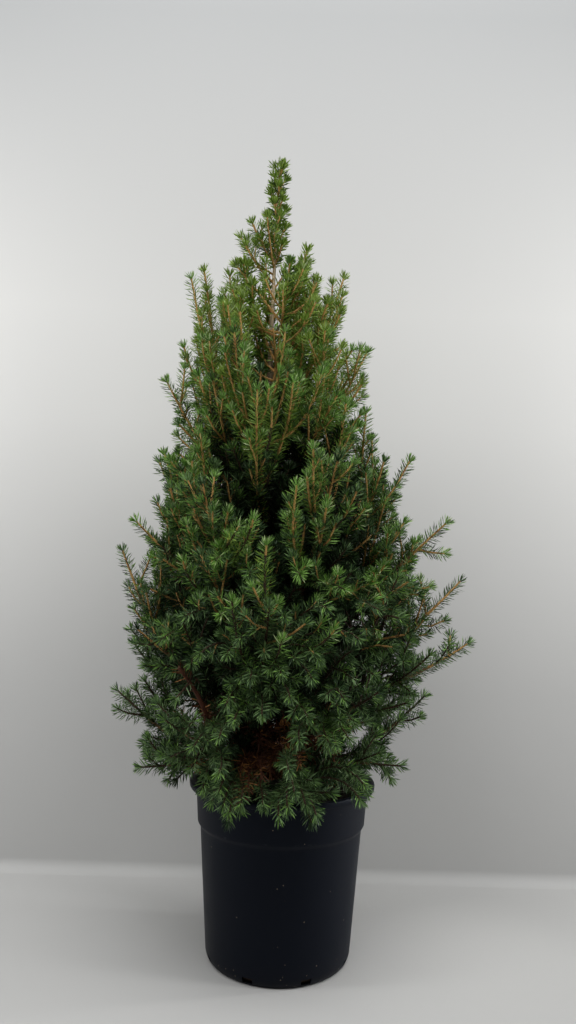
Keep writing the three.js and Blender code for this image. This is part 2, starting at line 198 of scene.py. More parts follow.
# Dust and soil marks, used by the pot, the soil and the bark: specks of a given size, thicker near the foot.
SPECK_SIZE = 0.3
dust, given, results = effect_group(
    "dust", {"Speck Scale": 300.0, "Amount": 0.3, "Foot Height": 0.05, "Foot Amount": 0.5},
    ("Specks", "Film"))
place = object_place(dust)
over_foot = computed(dust, "DIVIDE", height_of(dust, place), given["Foot Height"], use_clamp=True)
near_foot = computed(dust, "SUBTRACT", 1.0, over_foot)
heaped = computed(dust, "MULTIPLY_ADD", near_foot, given["Foot Amount"], given["Amount"])
speck = add_node(dust, "ShaderNodeTexVoronoi", feature="F1", Vector=place, Scale=given["Speck Scale"])
lot = add_node(dust, "ShaderNodeSeparateColor", Color=speck.outputs["Color"]).outputs["Red"]
chosen = computed(dust, "LESS_THAN", lot, heaped)
small = computed(dust, "LESS_THAN", speck.outputs["Distance"], SPECK_SIZE)
fill(dust, results["Specks"], computed(dust, "MULTIPLY", chosen, small))
cloud = add_node(dust, "ShaderNodeTexNoise", Vector=place, Scale=24.0, Detail=5.0, Roughness=0.65)
fill(dust, results["Film"], computed(dust, "MULTIPLY", cloud.outputs["Fac"], heaped, use_clamp=True))

pot_wall_rows = straight_rows(WALL_FOOT, WALL_HEAD, 24)
pot_band_rows = straight_rows(BAND_FOOT, BAND_HEAD, 8)
pot_sides = drain_rows + pot_wall_rows + band_step + pot_band_rows
pot_outside = pot_foot + pot_sides
pot_inside = [(radius - POT_WALL, height) for radius, height in reversed(pot_sides)]
pot_floor = [(0.0856, POT_WALL), (0.060, POT_WALL), (0.030, POT_WALL)]
pot_profile = pot_outside + lip_rows + pot_inside + pot_floor
pot_points = [(0.0, 0.0, 0.0), (0.0, 0.0, POT_WALL)]
for radius, height in pot_profile[1:]:
    for step in range(POT_ROUND):
        angle = 2 * math.pi * step / POT_ROUND
        warp = POT_WARP * math.sin(2 * angle + 0.7) * min(1.0, height / WARP_FULL_AT)
        reach = radius + warp * (height < WARP_ENDS_AT)
        pot_points.append((reach * math.cos(angle), reach * math.sin(angle), height))


def turned_face(around, *corners):
    """A face of a turned shape, from its corners' rings and steps. Ring 1 follows the two middle points."""
    return tuple(2 + (ring - 1) * around + step % around for ring, step in corners)


def turned_faces(rings, around, is_open=None):
    """The faces of a turned shape, from the middle of its underside to its other middle point."""
    faces = []
    for step in range(around):
        after = step + 1
        faces.append((0, *turned_face(around, (1, after), (1, step))))
        faces.append((1, *turned_face(around, (rings, step), (rings, after))))
        for ring in range(1, rings):
            if is_open is None or not is_open(ring, step):
                corners = ((ring, step), (ring, after), (ring + 1, after), (ring + 1, step))
                faces.append(turned_face(around, *corners))
    return faces


outer_low = len(pot_foot)
outer_high = outer_low + DRAIN_SLOT_RINGS
inner_low = len(pot_outside) + len(lip_rows) + len(pot_inside) - 1
inner_high = inner_low - DRAIN_SLOT_RINGS
slot_every = POT_ROUND // DRAIN_SLOTS
slot_from = slot_every // 2 - DRAIN_SLOT_FACES // 2


def in_drain_slot(ring, step):
    """Whether a face of the outer or the inner wall is left out for a drain slot."""
    in_slot = slot_from <= step % slot_every < slot_from + DRAIN_SLOT_FACES
    return in_slot and (outer_low <= ring < outer_high or inner_high <= ring < inner_low)


pot_faces = turned_faces(len(pot_profile) - 1, POT_ROUND, in_drain_slot)
for begin in range(slot_from, POT_ROUND, slot_every):
    end = begin + DRAIN_SLOT_FACES
    for step in range(begin, end):
        for outer, inner, flip in ((outer_low, inner_low, 1), (outer_high, inner_high, -1)):
            corners = ((outer, step), (outer, step + 1), (inner, step + 1), (inner, step))[::-flip]
            pot_faces.append(turned_face(POT_ROUND, *corners))
    for step, flip in ((begin, -1), (end, 1)):
        for rise in range(DRAIN_SLOT_RINGS):
            low, far_low = outer_low + rise, inner_low - rise
            corners = ((low, step), (low + 1, step), (far_low - 1, step), (far_low, step))[::flip]
            pot_faces.append(turned_face(POT_ROUND, *corners))
nursery_pot = joined_mesh("nursery_pot", pot_points, pot_faces, 32)

pot_plastic, tree, shader = new_material("black nursery plastic", 0.45, 0.12)
shader.inputs["Specular Tint"].default_value = (0.78, 0.88, 1.0, 1.0)
patches, grain = placed_group(tree, mottle, Patch_Scale=16.0, Grain_Scale=1500.0, Stretch=0.35)
specks, film = placed_group(tree, dust, Speck_Scale=420.0, Amount=0.004, Foot_Height=0.030, Foot_Amount=0.08)
place = object_place(tree)
height = height_of(tree, place)
scratches = add_node(tree, "ShaderNodeTexNoise", Vector=place, Scale=90.0, Detail=6.0, Roughness=0.7)
# The lip's top and the band's lower edge, patchy by the scratch noise: partly scuffs, partly a painted
# highlight.
lip_top_scuffs_and_highlight = mapped(tree, height, 0.2195, 0.2215)
band_edge_scuffs_and_highlight = computed(tree, "COMPARE", height, BAND_STEP_AT, 0.0012)
rim_scuffs_and_highlight = computed(tree, "MAXIMUM", lip_top_scuffs_and_highlight, band_edge_scuffs_and_highlight)
scuffs_and_painted_highlight = computed(tree, "MULTIPLY", rim_scuffs_and_highlight, mapped(tree, scratches.outputs["Fac"], 0.56, 0.72))
colour = mixed_colours(tree, patches, (0.0012, 0.0020, 0.0052), (0.0030, 0.0042, 0.0088))
colour = mixed_colours(tree, scuffs_and_painted_highlight, colour, (0.030, 0.032, 0.036))
colour = mixed_colours(tree, film, colour, (0.070, 0.062, 0.052))
colour = mixed_colours(tree, specks, colour, (0.15, 0.12, 0.085))
fill(tree, shader.inputs["Base Color"], colour)
fill(tree, shader.inputs["Roughness"], mapped(tree, patches, 0.3, 0.7, 0.42, 0.56))
bumped(tree, shader, grain, 0.0002, 0.5)
finish_piece(nursery_pot, pot_plastic, "pot_plastic", "pot")

# The potting soil: a peat mix pressed into the pot, level on top and sunk a little along the wall. Crumbs
# of peat and fine bark lie on it, with old needles that have fallen from the plant.
SOIL_ROUND = 120
SOIL_EDGE = 0.1086
SOIL_TOP = 0.203
SOIL_BOTTOM = 0.0028
SOIL_SUNK_TO = 0.1980
SOIL_RISE = 0.0011
SOIL_RING = 0.0035
SOIL_RINGS = 30
SOIL_HUMPS = ((0.0016, 60), (0.0010, 260))
soil_side = [(0.0, SOIL_BOTTOM), (0.0830, SOIL_BOTTOM), (0.0876, 0.0046), (0.0894, 0.0080), (0.0908, 0.0130),
             (0.1022, 0.1620), (0.1060, 0.1725), (SOIL_EDGE, 0.1965)]
soil_flat = [(SOIL_EDGE - SOIL_RING * ring, min(SOIL_TOP, SOIL_SUNK_TO + SOIL_RISE * ring))
             for ring in range(1, SOIL_RINGS + 1)]
soil_profile = soil_side + soil_flat
soil_points = [(0.0, 0.0, SOIL_BOTTOM), (0.0, 0.0, SOIL_TOP)]
for row, (radius, height) in enumerate(soil_profile[1:]):
    for step in range(SOIL_ROUND):
        angle = 2 * math.pi * step / SOIL_ROUND
        point = Vector((radius * math.cos(angle), radius * math.sin(angle), height))
        if row >= len(soil_side) - 1:
            point.z += sum(rise * noise.noise(point * scale) for rise, scale in SOIL_HUMPS)
        soil_points.append(tuple(point))
soil_faces = turned_faces(len(soil_profile) - 1, SOIL_ROUND)
potting_soil = joined_mesh("potting_soil_fill", soil_points, soil_faces, 60)

soil_mix, tree, shader = new_material("peat potting soil", 0.92, 0.2)
patches, grain = placed_group(tree, mottle, Patch_Scale=60.0, Grain_Scale=520.0, Stretch=1.0)
specks = placed_group(tree, dust, Speck_Scale=260.0, Amount=0.05, Foot_Height=0.01, Foot_Amount=0.0)[0]
colour = mixed_colours(tree, grain, (0.010, 0.007, 0.005), (0.050, 0.032, 0.021))
colour = mixed_colours(tree, patches, colour, (0.022, 0.015, 0.010))
colour = mixed_colours(tree, specks, colour, (0.16, 0.12, 0.08))
fill(tree, shader.inputs["Base Color"], colour)
bumped(tree, shader, grain, 0.0012)
finish_piece(potting_soil, soil_mix, "soil", "potting_soil")

CRUMBS = 900
CRUMBS_REACH = 0.102
SMALLEST_CRUMB = 0.0009
CRUMB_SPAN = 0.0022
crumb_random = np.random.default_rng(7)
crumb_form = np.array([(1, 0, 0), (-1, 0, 0), (0, 1, 0), (0, -1, 0), (0, 0, 1), (0, 0, -1)], dtype=float)
crumb_sides = np.array([
    (0, 2, 4), (2, 1, 4), (1, 3, 4), (3, 0, 4), (2, 0, 5), (1, 2, 5), (3, 1, 5), (0, 3, 5),
])
crumb_points = []
crumb_faces = []
for count in range(CRUMBS):
    angle = 2 * math.pi * crumb_random.random()
    radius = CRUMBS_REACH * math.sqrt(crumb_random.random())
    size = SMALLEST_CRUMB + CRUMB_SPAN * crumb_random.random() ** 3
    spread = crumb_random.uniform(0.6, 1.5, 3) * (1.0, 1.0, 0.6)
    turned = Matrix.Rotation(6.3 * crumb_random.random(), 3, "Z")
    turned = turned @ Matrix.Rotation(crumb_random.random(), 3, "X")
    corners = (crumb_form + crumb_random.uniform(-0.25, 0.25, (6, 3))) * spread * size
    corners = corners @ np.array(turned)
    corners += (radius * math.cos(angle), radius * math.sin(angle), SOIL_TOP + 0.3 * size)
    crumb_points.append(corners)
    crumb_faces.append(crumb_sides + 6 * count)
soil_crumbs = joined_mesh("soil_crumbs", np.concatenate(crumb_points), np.concatenate(crumb_faces))
finish_piece(soil_crumbs, soil_mix, "soil", "potting_soil")

# The trunk and the boughs: one leader that stands left of the pot's middle and tapers to a thin top, with
# fluted root flare, and boughs that leave it at every height. Old wood is grey brown and scaly, and turns
# to thinner tan bark higher up. Where each limb's tip stands settles how long it is and where it leaves.
TOTAL_HEIGHT = 1.076
CLEARANCE = 0.0003
TRUNK_X = -0.031
TRUNK_FOOT = SOIL_TOP + CLEARANCE
TRUNK_FOOT_RADIUS = 0.012
TRUNK_TIP_RADIUS = 0.0012
TRUNK_WAVER = 0.0025
TRUNK_TAPER = 1.3
FLARE = 0.006
FLARE_HEIGHT = 0.014
FLUTE_DEPTH = 0.14
LEADER_FOOT = 0.8358 * TOTAL_HEIGHT
LEADER_LIFT = 0.9
PATH_STEP = 0.006
LIMB_WAVER = 0.22
LIMB_TIP_RADIUS = 0.0014
LIMB_SLENDERNESS = 62
BARE_SHARE = 0.3
TRIAL_LENGTH = 0.3
UP = np.array((0.0, 0.0, 1.0))
# Each limb: its reach from the trunk and its tip's height in millimetres, its bearing, and the slopes at
# which it leaves the trunk and ends, in degrees. The first 24 have a bare foot thick enough to be a bough.
BOUGHS = 24
LIMBS = {
    "front_low_left": (150, 209, 258, 16, -42), "front_low_right": (160, 208, 294, 16, -42),
    "back_low": (170, 245, 92, 18, 2), "right_low": (190, 255, -16, 16, 2),
    "left_low": (160, 241, 196, 16, 0), "left_spreading": (201, 330, 174, 12, 38),
    "right_spreading": (228, 333, 8, 4, 44), "front_spreading_left": (190, 323, 236, 20, 30),
    "back_spreading_right": (210, 350, 52, 16, 36), "front_spreading_right": (190, 357, 318, 14, 36),
    "back_spreading_left": (208, 395, 130, 20, 42), "right_long": (270, 408, -6, 12, 38),
    "left_short": (176, 417, 205, 26, 40), "front_middle": (190, 457, 273, 28, 52),
    "right_longest": (273, 494, 6, 20, 48), "left_long": (206, 524, 172, 22, 66),
    "back_middle": (200, 505, 90, 26, 56), "left_middle": (180, 557, 192, 32, 46),
    "right_middle": (240, 565, -12, 32, 44), "front_rising_left": (158, 595, 240, 38, 70),
    "front_rising_right": (148, 633, 305, 38, 70), "back_rising_right": (165, 615, 50, 35, 66),
    "left_rising": (146, 655, 180, 40, 72), "right_rising": (198, 661, 8, 38, 62),
    "back_upper": (145, 695, 118, 44, 70), "left_upper": (145, 751, 186, 42, 62),
    "front_upper": (100, 747, 262, 52, 78), "right_upper": (132, 801, -4, 46, 66),
    "back_top": (88, 820, 78, 56, 76), "left_top": (118, 899, 184, 54, 78),
    "right_top": (100, 916, 8, 56, 74), "front_top": (54, 910, 296, 66, 80),
}


def seeded_stream(seed):
    """A seeded stream of numbers between 0 and 1."""
    state = (seed * 2654435761) & 0xFFFFFFFF

    def draw():
        nonlocal state
        state = (state * 1664525 + 1013904223) & 0xFFFFFFFF
        return state / 4294967296

    draw()
    draw()
    return draw


def unit(vector):
    return vector / math.sqrt(vector @ vector)


class Path:
    """A grown path: evenly spaced points from foot to tip."""

    def __init__(self, points, length):
        self.points = np.asarray(points)
        self.length = length

    def at(self, distances):
        steps = len(self.points) - 1
        place = np.clip(np.asarray(distances) / self.length * steps, 0, steps)
        index = np.minimum(place.astype(int), steps - 1)
        share = (place - index)[..., None]
        return self.points[index] * (1 - share) + self.points[index + 1] * share

    def along(self, distances):
        distances = np.asarray(distances)
        ahead = self.at(distances + PATH_STEP / 2) - self.at(distances - PATH_STEP / 2)
        return ahead / np.linalg.norm(ahead, axis=-1, keepdims=True)


def grow_path(start, heading, pull, length, waver, random):
    """A path that sets off along the heading and is drawn towards the pull more and more, with a waver."""
    drift = (np.array((random(), random(), random())) - 0.5) * waver
    count = max(4, int(length / PATH_STEP + 0.5))
    points = [start]
    for step in range(count):
        share = (step + 0.5) / count
        direction = unit(heading + pull * share + drift * math.sin(2 * math.pi * share))
        points.append(points[-1] + direction * (length / count))
    return Path(points, length)


def trunk_point(height):
    share = (height - TRUNK_FOOT) / (TOTAL_HEIGHT - TRUNK_FOOT)
    x = TRUNK_X + TRUNK_WAVER * math.sin(7 * share)
    return np.array((x, 0.8 * TRUNK_WAVER * math.sin(9 * share), height))


def trunk_radius(height):
    above = (height - TRUNK_FOOT) / (TOTAL_HEIGHT - TRUNK_FOOT)
    taper = (1 - min(above, 1)) ** TRUNK_TAPER
    flare = FLARE * math.exp(-(height - TRUNK_FOOT) / FLARE_HEIGHT)
    return TRUNK_TIP_RADIUS + (TRUNK_FOOT_RADIUS - TRUNK_TIP_RADIUS) * taper + flare


def limb_path(index, reach, tip, bearing, leaves, ends):
    """A limb's path. Its length, and where it leaves the trunk, follow from where its tip stands."""
    bearing, leaves, ends = (math.radians(angle) for angle in (bearing, leaves, ends))
    lift = math.cos(leaves) * math.tan(ends) - math.sin(leaves)
    level = np.array((math.cos(bearing), math.sin(bearing), 0.0))
    heading = level * math.cos(leaves) + UP * math.sin(leaves)
    trial = grow_path(np.zeros(3), heading, UP * lift, TRIAL_LENGTH, 0, lambda: 0.5).points[-1]
    scale = reach / 1000 / math.hypot(trial[0], trial[1])
    foot = trunk_point(tip / 1000 - scale * trial[2])
    path = grow_path(foot, heading, UP * lift, scale * TRIAL_LENGTH, LIMB_WAVER, seeded_stream(index + 1))
    path.lift = lift
    path.foot = foot[2]
    path.bare_to = BARE_SHARE * path.length if index < BOUGHS else 0.0
    return path


def limb_radius(path, distance):
    foot_radius = path.length / LIMB_SLENDERNESS
    to_tip = max(0.0, 1 - distance / path.length)
    return LIMB_TIP_RADIUS + (foot_radius - LIMB_TIP_RADIUS) * to_tip


limbs = [limb_path(index, *sizes) for index, sizes in enumerate(LIMBS.values())]
leader_length = TOTAL_HEIGHT - LEADER_FOOT - CLEARANCE
leader_steps = int(leader_length / PATH_STEP + 0.5)
leader_rises = [leader_length * step / leader_steps for step in range(leader_steps + 1)]
leader = Path([trunk_point(LEADER_FOOT + CLEARANCE + rise) for rise in leader_rises], leader_length)
leader.lift = LEADER_LIFT
leader.foot = LEADER_FOOT
leader.bare_to = 0.0
stems = limbs + [leader]
LEADER = len(limbs)


def tube(points, radii, sides):
    """A closed tube along a row of points, as arrays of points and faces. The radii are one number for each
    point, or one for each side at each point."""
    points = np.asarray(points)
    count = len(points)
    along = np.gradient(points, axis=0)
    along /= np.linalg.norm(along, axis=1, keepdims=True)
    across = np.array((1.0, 0.0, 0.0)) if abs(along[0][0]) < 0.8 else np.array((0.0, 1.0, 0.0))
    across = across - along * (along @ across)[:, None]
    across /= np.linalg.norm(across, axis=1, keepdims=True)
    aside = np.cross(across, along)
    angles = 2 * math.pi * np.arange(sides) / sides
    radii = np.asarray(radii).reshape(count, -1)
    ring = across[:, None] * np.sin(angles)[:, None] + aside[:, None] * np.cos(angles)[:, None]
    corners = (points[:, None] + ring * radii[..., None]).reshape(-1, 3)
    low = np.arange(count - 1)[:, None] * sides + np.arange(sides)
    after = np.arange(count - 1)[:, None] * sides + (np.arange(sides) + 1) % sides
    first = np.stack((low, after, after + sides), axis=-1).reshape(-1, 3)
    second = np.stack((low, after + sides, low + sides), axis=-1).reshape(-1, 3)
    foot, tip = len(corners), len(corners) + 1
    round_foot = np.arange(sides)
    round_tip = (count - 1) * sides + round_foot
    caps = [(foot, (i + 1) % sides, i) for i in range(sides)]
    caps += [(tip, round_tip[i], round_tip[(i + 1) % sides]) for i in range(sides)]
    corners = np.concatenate((corners, points[:1], points[-1:]))
    return corners, np.concatenate((first, second, caps))


def join_parts(parts):
    """Arrays of points and faces joined into one."""
    offsets = np.cumsum([0] + [len(points) for points, faces in parts[:-1]])
    points = np.concatenate([points for points, faces in parts])
    return points, np.concatenate([faces + offset for (_, faces), offset in zip(parts, offsets)])


def bark_relief(place, size):
    """How far the bark stands out at a point, in shares of the relief: long plates with torn edges."""
    stretched = Vector((place[0], place[1], place[2] * 0.42)) / size
    plates = noise.voronoi(stretched)[0]
    crack = min(1.0, 2.2 * (plates[1] - plates[0]))
    return 0.75 * crack + 0.35 * noise.noise(stretched * 2.3) + 0.15 * noise.noise(stretched * 6.1)


def barked_ring(centre, radius, sides, slant, plate, depth, level, fluting=0.0):
    """One ring's radii: fluted, and rough with plates of bark of a given size and depth."""
    row = []
    for side in range(sides):
        angle = 2 * math.pi * side / sides
        skin = centre + radius * np.array((math.sin(angle), math.cos(angle), slant))
        rough = depth * (bark_relief(skin, plate) - level)
        row.append(radius * (1 + fluting * math.cos(5 * angle + 1) + rough))
    return row


def by_height(height, steps):
    """What holds at a height, from rows of the height they hold up to and what holds there."""
    return next(value for top, value in steps if height < top)


# How much the bark's plates slant, how large they are, how deep, and the level they lie about.
TRUNK_BARK = (0.0, 0.0045, 0.10, 0.4)
BOUGH_BARK = (0.3, 0.0034, 0.16, 0.725)
TRUNK_SIDES = 34
TRUNK_SUNK = 0.004
LOW_TRUNK_TO = 0.30
TRUNK_HEAD = 1.065
trunk_heights = np.concatenate((np.arange(TRUNK_FOOT - TRUNK_SUNK, LOW_TRUNK_TO, 0.0016),
                                np.arange(LOW_TRUNK_TO, TRUNK_HEAD, 0.0030)))
trunk_centres = [trunk_point(height) for height in trunk_heights]
trunk_radii = []
for centre in trunk_centres:
    radius = trunk_radius(max(centre[2], TRUNK_FOOT))
    fluting = FLUTE_DEPTH * math.exp(-(centre[2] - TRUNK_FOOT) / (2 * FLARE_HEIGHT))
    trunk_radii.append(barked_ring(centre, radius, TRUNK_SIDES, *TRUNK_BARK, fluting))
trunk_part = tube(trunk_centres, trunk_radii, TRUNK_SIDES)

BOUGH_SIDES = 10
BOUGH_RING = 0.0034
COLLAR = 0.7
COLLAR_LENGTH = 0.010
# The share of a limb that is old wood, by its tip's height.
OLD_WOOD_SHARES = ((0.60, 0.80), (0.74, 0.62), (TOTAL_HEIGHT, 0.25))
bough_parts = []
for path in limbs:
    path.young_from = by_height(path.points[-1][2], OLD_WOOD_SHARES) * path.length
    rings = np.linspace(0.0, path.young_from, max(8, int(path.young_from / BOUGH_RING)))
    centres = path.at(rings)
    radii = []
    for distance, centre in zip(rings, centres):
        radius = limb_radius(path, distance) * (1 + COLLAR * math.exp(-distance / COLLAR_LENGTH))
        radii.append(barked_ring(centre, radius, BOUGH_SIDES, *BOUGH_BARK))
    bough_parts.append(tube(centres, radii, BOUGH_SIDES))
trunk_bark = joined_mesh("trunk_bark", *trunk_part, 50)
bough_bark = joined_mesh("bough_bark", *join_parts(bough_parts), 50)


def bark_material(name, old, young, cracked, turn_low, turn_high):
    """Scaly bark: old wood low down, lighter above, darker in the cracks, with a bloom of dust."""
    material, tree, shader = new_material(name, 0.85, 0.25)
    patches, grain = placed_group(tree, mottle, Patch_Scale=70.0, Grain_Scale=900.0, Stretch=0.3)
    film = placed_group(tree, dust, Speck_Scale=500.0, Amount=0.05, Foot_Height=0.26, Foot_Amount=0.1)[1]
    place = object_place(tree)
    squeezed = computed(tree, "MULTIPLY", place, (1.0, 1.0, 0.4), kind="ShaderNodeVectorMath")
    plates = add_node(tree, "ShaderNodeTexVoronoi", feature="DISTANCE_TO_EDGE", Vector=squeezed, Scale=210.0)
    cracks = mapped(tree, plates.outputs["Distance"], 0.0, 0.16, 0.5, 0.0)
    turned = mapped(tree, height_of(tree, place), turn_low, turn_high)
    colour = mixed_colours(tree, turned, old, young)
    colour = mixed_colours(tree, patches, colour, tuple(1.25 * share for share in young))
    colour = mixed_colours(tree, cracks, colour, cracked)
    colour = mixed_colours(tree, mapped(tree, grain, 0.35, 0.7, 0.0, 0.3), colour, cracked)
    colour = mixed_colours(tree, film, colour, (0.20, 0.17, 0.13))
    fill(tree, shader.inputs["Base Color"], colour)
    fill(tree, shader.inputs["Roughness"], mapped(tree, grain, 0.3, 0.7, 0.7, 0.95))
    bumped(tree, shader, grain, 0.0006)
    return material


trunk_finish = bark_material("trunk bark", (0.060, 0.042, 0.028), (0.720, 0.560, 0.370),
                             (0.050, 0.034, 0.022), 0.40, 0.62)
bough_finish = bark_material("bough bark", (0.050, 0.028, 0.018), (0.420, 0.250, 0.120),
                             (0.030, 0.018, 0.011), 0.45, 0.75)
finish_piece(trunk_bark, trunk_finish, "bark", "trunk")
finish_piece(bough_bark, bough_finish, "bark", *["bough_" + name for name in list(LIMBS)[:BOUGHS]])

# The side boughs, twigs and shoots: each limb carries side boughs, these carry twigs, and these short shoots,
# all turned by the golden angle and shorter towards the tip. One lives only where it has light. Last year's
# growth is orange brown and smooth, older wood is dull brown, and in the shade low down some have died.
TWIG_GAP = 0.024
TWIG_FIRST = 0.009
TWIG_LAST = 0.026
TWIG_SPREAD = math.radians(60)
TWIG_LENGTH_SHARE = 0.4
TWIG_SHORTEST = 0.032
TWIG_LONGEST = 0.110
TWIG_WAVER = 0.3
SPRAY_WAVER = 0.18
MOST_OUTNESS = 1.05
TWIG_SEED = 101
LENGTH_LEAST = 0.82
LENGTH_SPAN = 0.36
GAP_LEAST = 0.8
GAP_SPAN = 0.4
HANGING_SHARE = 0.72
LEAST_KEPT_SHARE = 0.7
LEAST_ROOM = 0.0036
RIM_ROOM = 0.004
GOLDEN_ANGLE = math.radians(137.5)
REACH_SPARE = 0.004
reach_low = np.array(cad_box[0]) - REACH_SPARE
reach_high = np.array(cad_box[1]) + REACH_SPARE
stem_points = np.concatenate([stem.points for stem in stems])
stem_starts = np.cumsum([0] + [len(stem.points) for stem in stems[:-1]])
# The crown's reach from the trunk at each height, on its left and its right, in millimetres; and its depth
# in shares of its width.
CROWN_HEIGHTS, CROWN_LEFT, CROWN_RIGHT = np.array((
    (165, 255, 335, 455, 555, 655, 785, 885, 945, 985, 1015, 1050, 1085),
    (130, 170, 195, 195, 175, 145, 130, 110, 60, 40, 22, 18, 6),
    (140, 185, 225, 250, 220, 175, 130, 105, 58, 30, 22, 18, 6),
)) / 1000
CROWN_DEPTH = np.array((115, 108, 95, 90, 90, 90, 90, 90, 95, 100, 100, 100, 100)) / 100
# Where the crown is open, looked at from a metre in front of its middle plane, in millimetres: the bared
# upper trunk in two parts, two dark hollows, the brown hollow and a gap beside it, the gaps beside the rim,
# two on the left, the dead bough's place and one low on the right. Each has its middle, its half size and
# the depth behind which growth may still stand.
OPENINGS = np.array((
    (-33, 852, 7, 92, -6), (-32, 806, 9, 52, -6), (2, 645, 22, 30, -45), (-31, 554, 18, 25, -70),
    (-45, 240, 25, 44, -100), (74, 222, 30, 16, -90), (-158, 144, 50, 55, 300), (172, 150, 50, 55, 300),
    (-117, 288, 11, 28, 300), (-115, 213, 13, 18, 300), (-117, 336, 32, 21, -100), (91, 278, 16, 13, 300),
)) / 1000
TRUNK_OPENINGS = OPENINGS[:2]
# Where the needles are so thin that the wall or the dark shows through between the twigs, in the same way.
THIN_PLACES = np.array((
    (96, 434, 18, 12, 300), (136, 428, 15, 18, 300), (101, 356, 18, 13, 300), (137, 362, 13, 12, 300),
    (-95, 620, 15, 10, 300), (-117, 336, 32, 21, -95),
)) / 1000
EYE_DISTANCE = 1.05
EYE_HEIGHT = 0.485
CELL = 0.012


def square_to(along, turn):
    """The direction square to another, turned round it from the level one."""
    reference = np.array((1.0, 0.0, 0.0)) if abs(along[2]) > 0.95 else UP
    level = unit(np.cross(along, reference))
    return level * math.cos(turn) + np.cross(level, along) * math.sin(turn)


def off_pot(points):
    """How far points are outside or over the pot's rim."""
    return np.maximum(np.hypot(points[..., 0], points[..., 1]) - POT_LIP_RADIUS, points[..., 2] - POT_HEIGHT)


def room_at(point, own):
    """How far foliage may reach round a point: nearer to its own stem than to others, off trunk and pot."""
    over_rim = off_pot(point) - RIM_ROOM
    off_trunk = np.linalg.norm(trunk_point(point[2]) - point) - trunk_radius(point[2])
    distances = np.linalg.norm(stem_points - point, axis=1)
    nearest = np.minimum.reduceat(distances, stem_starts)
    off_others = (np.delete(nearest, own).min() - nearest[own]) / 2
    return min(over_rim, max(off_trunk, point[2] - LEADER_FOOT), off_others) - CLEARANCE


def outness(points):
    """How far out in the crown points are: 0 at the trunk, 1 at the crown's reach."""
    heights = points[..., 2]
    share = (heights - TRUNK_FOOT) / (TOTAL_HEIGHT - TRUNK_FOOT)
    off_x = points[..., 0] - TRUNK_X - TRUNK_WAVER * np.sin(7 * share)
    off = np.hypot(off_x, points[..., 1]) + 1e-6
    left = np.interp(heights, CROWN_HEIGHTS, CROWN_LEFT)
    right = np.interp(heights, CROWN_HEIGHTS, CROWN_RIGHT)
    side = off_x / off
    deep = np.interp(heights, CROWN_HEIGHTS, CROWN_DEPTH)
    reach = (left + (right - left) * (0.5 + 0.5 * side)) * (1 - (1 - deep) * (1 - side * side))
    return off / reach


def in_reach(point):
    """Whether a point is inside the part's reach and clear of the pot."""
    return off_pot(point) > RIM_ROOM and (point > reach_low).all() and (point < reach_high).all()


def in_opening(points, openings=OPENINGS):
    """Whether points stand before an opening of the crown and would close it."""
    scale = EYE_DISTANCE / (EYE_DISTANCE + points[..., 1])
    seen_x = scale * points[..., 0]
    seen_z = EYE_HEIGHT + scale * (points[..., 2] - EYE_HEIGHT)
    closing = np.zeros(np.shape(seen_x), dtype=bool)
    for x, z, half_x, half_z, front in openings:
        inside = ((seen_x - x) / half_x) ** 2 + ((seen_z - z) / half_z) ** 2 < 1
        closing |= (points[..., 1] < front) & inside
    return closing


def kept_path(path, keeps, shortest):
    """A path kept up to the first point that fails, or None if too little is left."""
    kept = 0
    last = len(path.points) - 1
    while kept < last and keeps(path.points[kept + 1]):
        kept += 1
    length = path.length * kept / last
    if length < shortest * LEAST_KEPT_SHARE:
        return None
    return Path(path.points[:kept + 1], length)


def grown_from(stem, seed, first, last, gap, spread, longest, shortest, pull, waver):
    """The paths that leave a stem one after the other, each turned on by the golden angle."""
    random = seeded_stream(seed)
    turn = 2 * math.pi * random()
    at = first
    while at < stem.length - last:
        turn += GOLDEN_ANGLE
        along = stem.along(at)
        out = square_to(along, turn)
        heading = along * math.cos(spread) + out * math.sin(spread)
        to_tip = (at - stem.bare_to) / (stem.length - stem.bare_to)
        hanging = HANGING_SHARE if out[2] < -0.3 else 1
        length = (longest + (shortest - longest) * to_tip) * (LENGTH_LEAST + LENGTH_SPAN * random()) * hanging
        yield grow_path(stem.at(at), heading, pull, length, waver, random)
        at += gap * (GAP_LEAST + GAP_SPAN * random())


# How crowded each cell of the crown is: the points of shoots in and beside it.
crowd_origin = reach_low - 3 * CELL
crowd = np.zeros(np.ceil((reach_high - reach_low) / CELL).astype(int) + 6)


def note_path(path):
    for x, y, z in ((path.points - crowd_origin) / CELL).astype(int):
        crowd[x - 1:x + 2, y - 1:y + 2, z - 1:z + 2] += 1


def crowding(path):
    """The mean crowding along a path's outer half."""
    outer = path.points[len(path.points) // 2:]
    x, y, z = ((outer - crowd_origin) / CELL).astype(int).T
    return crowd[x, y, z].mean()


class Spray:
    """A shoot that carries needles: its path, its order, its stem's number, and where its needles begin."""

    def __init__(self, path, order, own, clad_from):
        self.path = path
        self.order = order
        self.own = own
        self.clad_from = clad_from
        self.dead = False
        self.leading = False
        self.old_to = 0.0
        note_path(path)


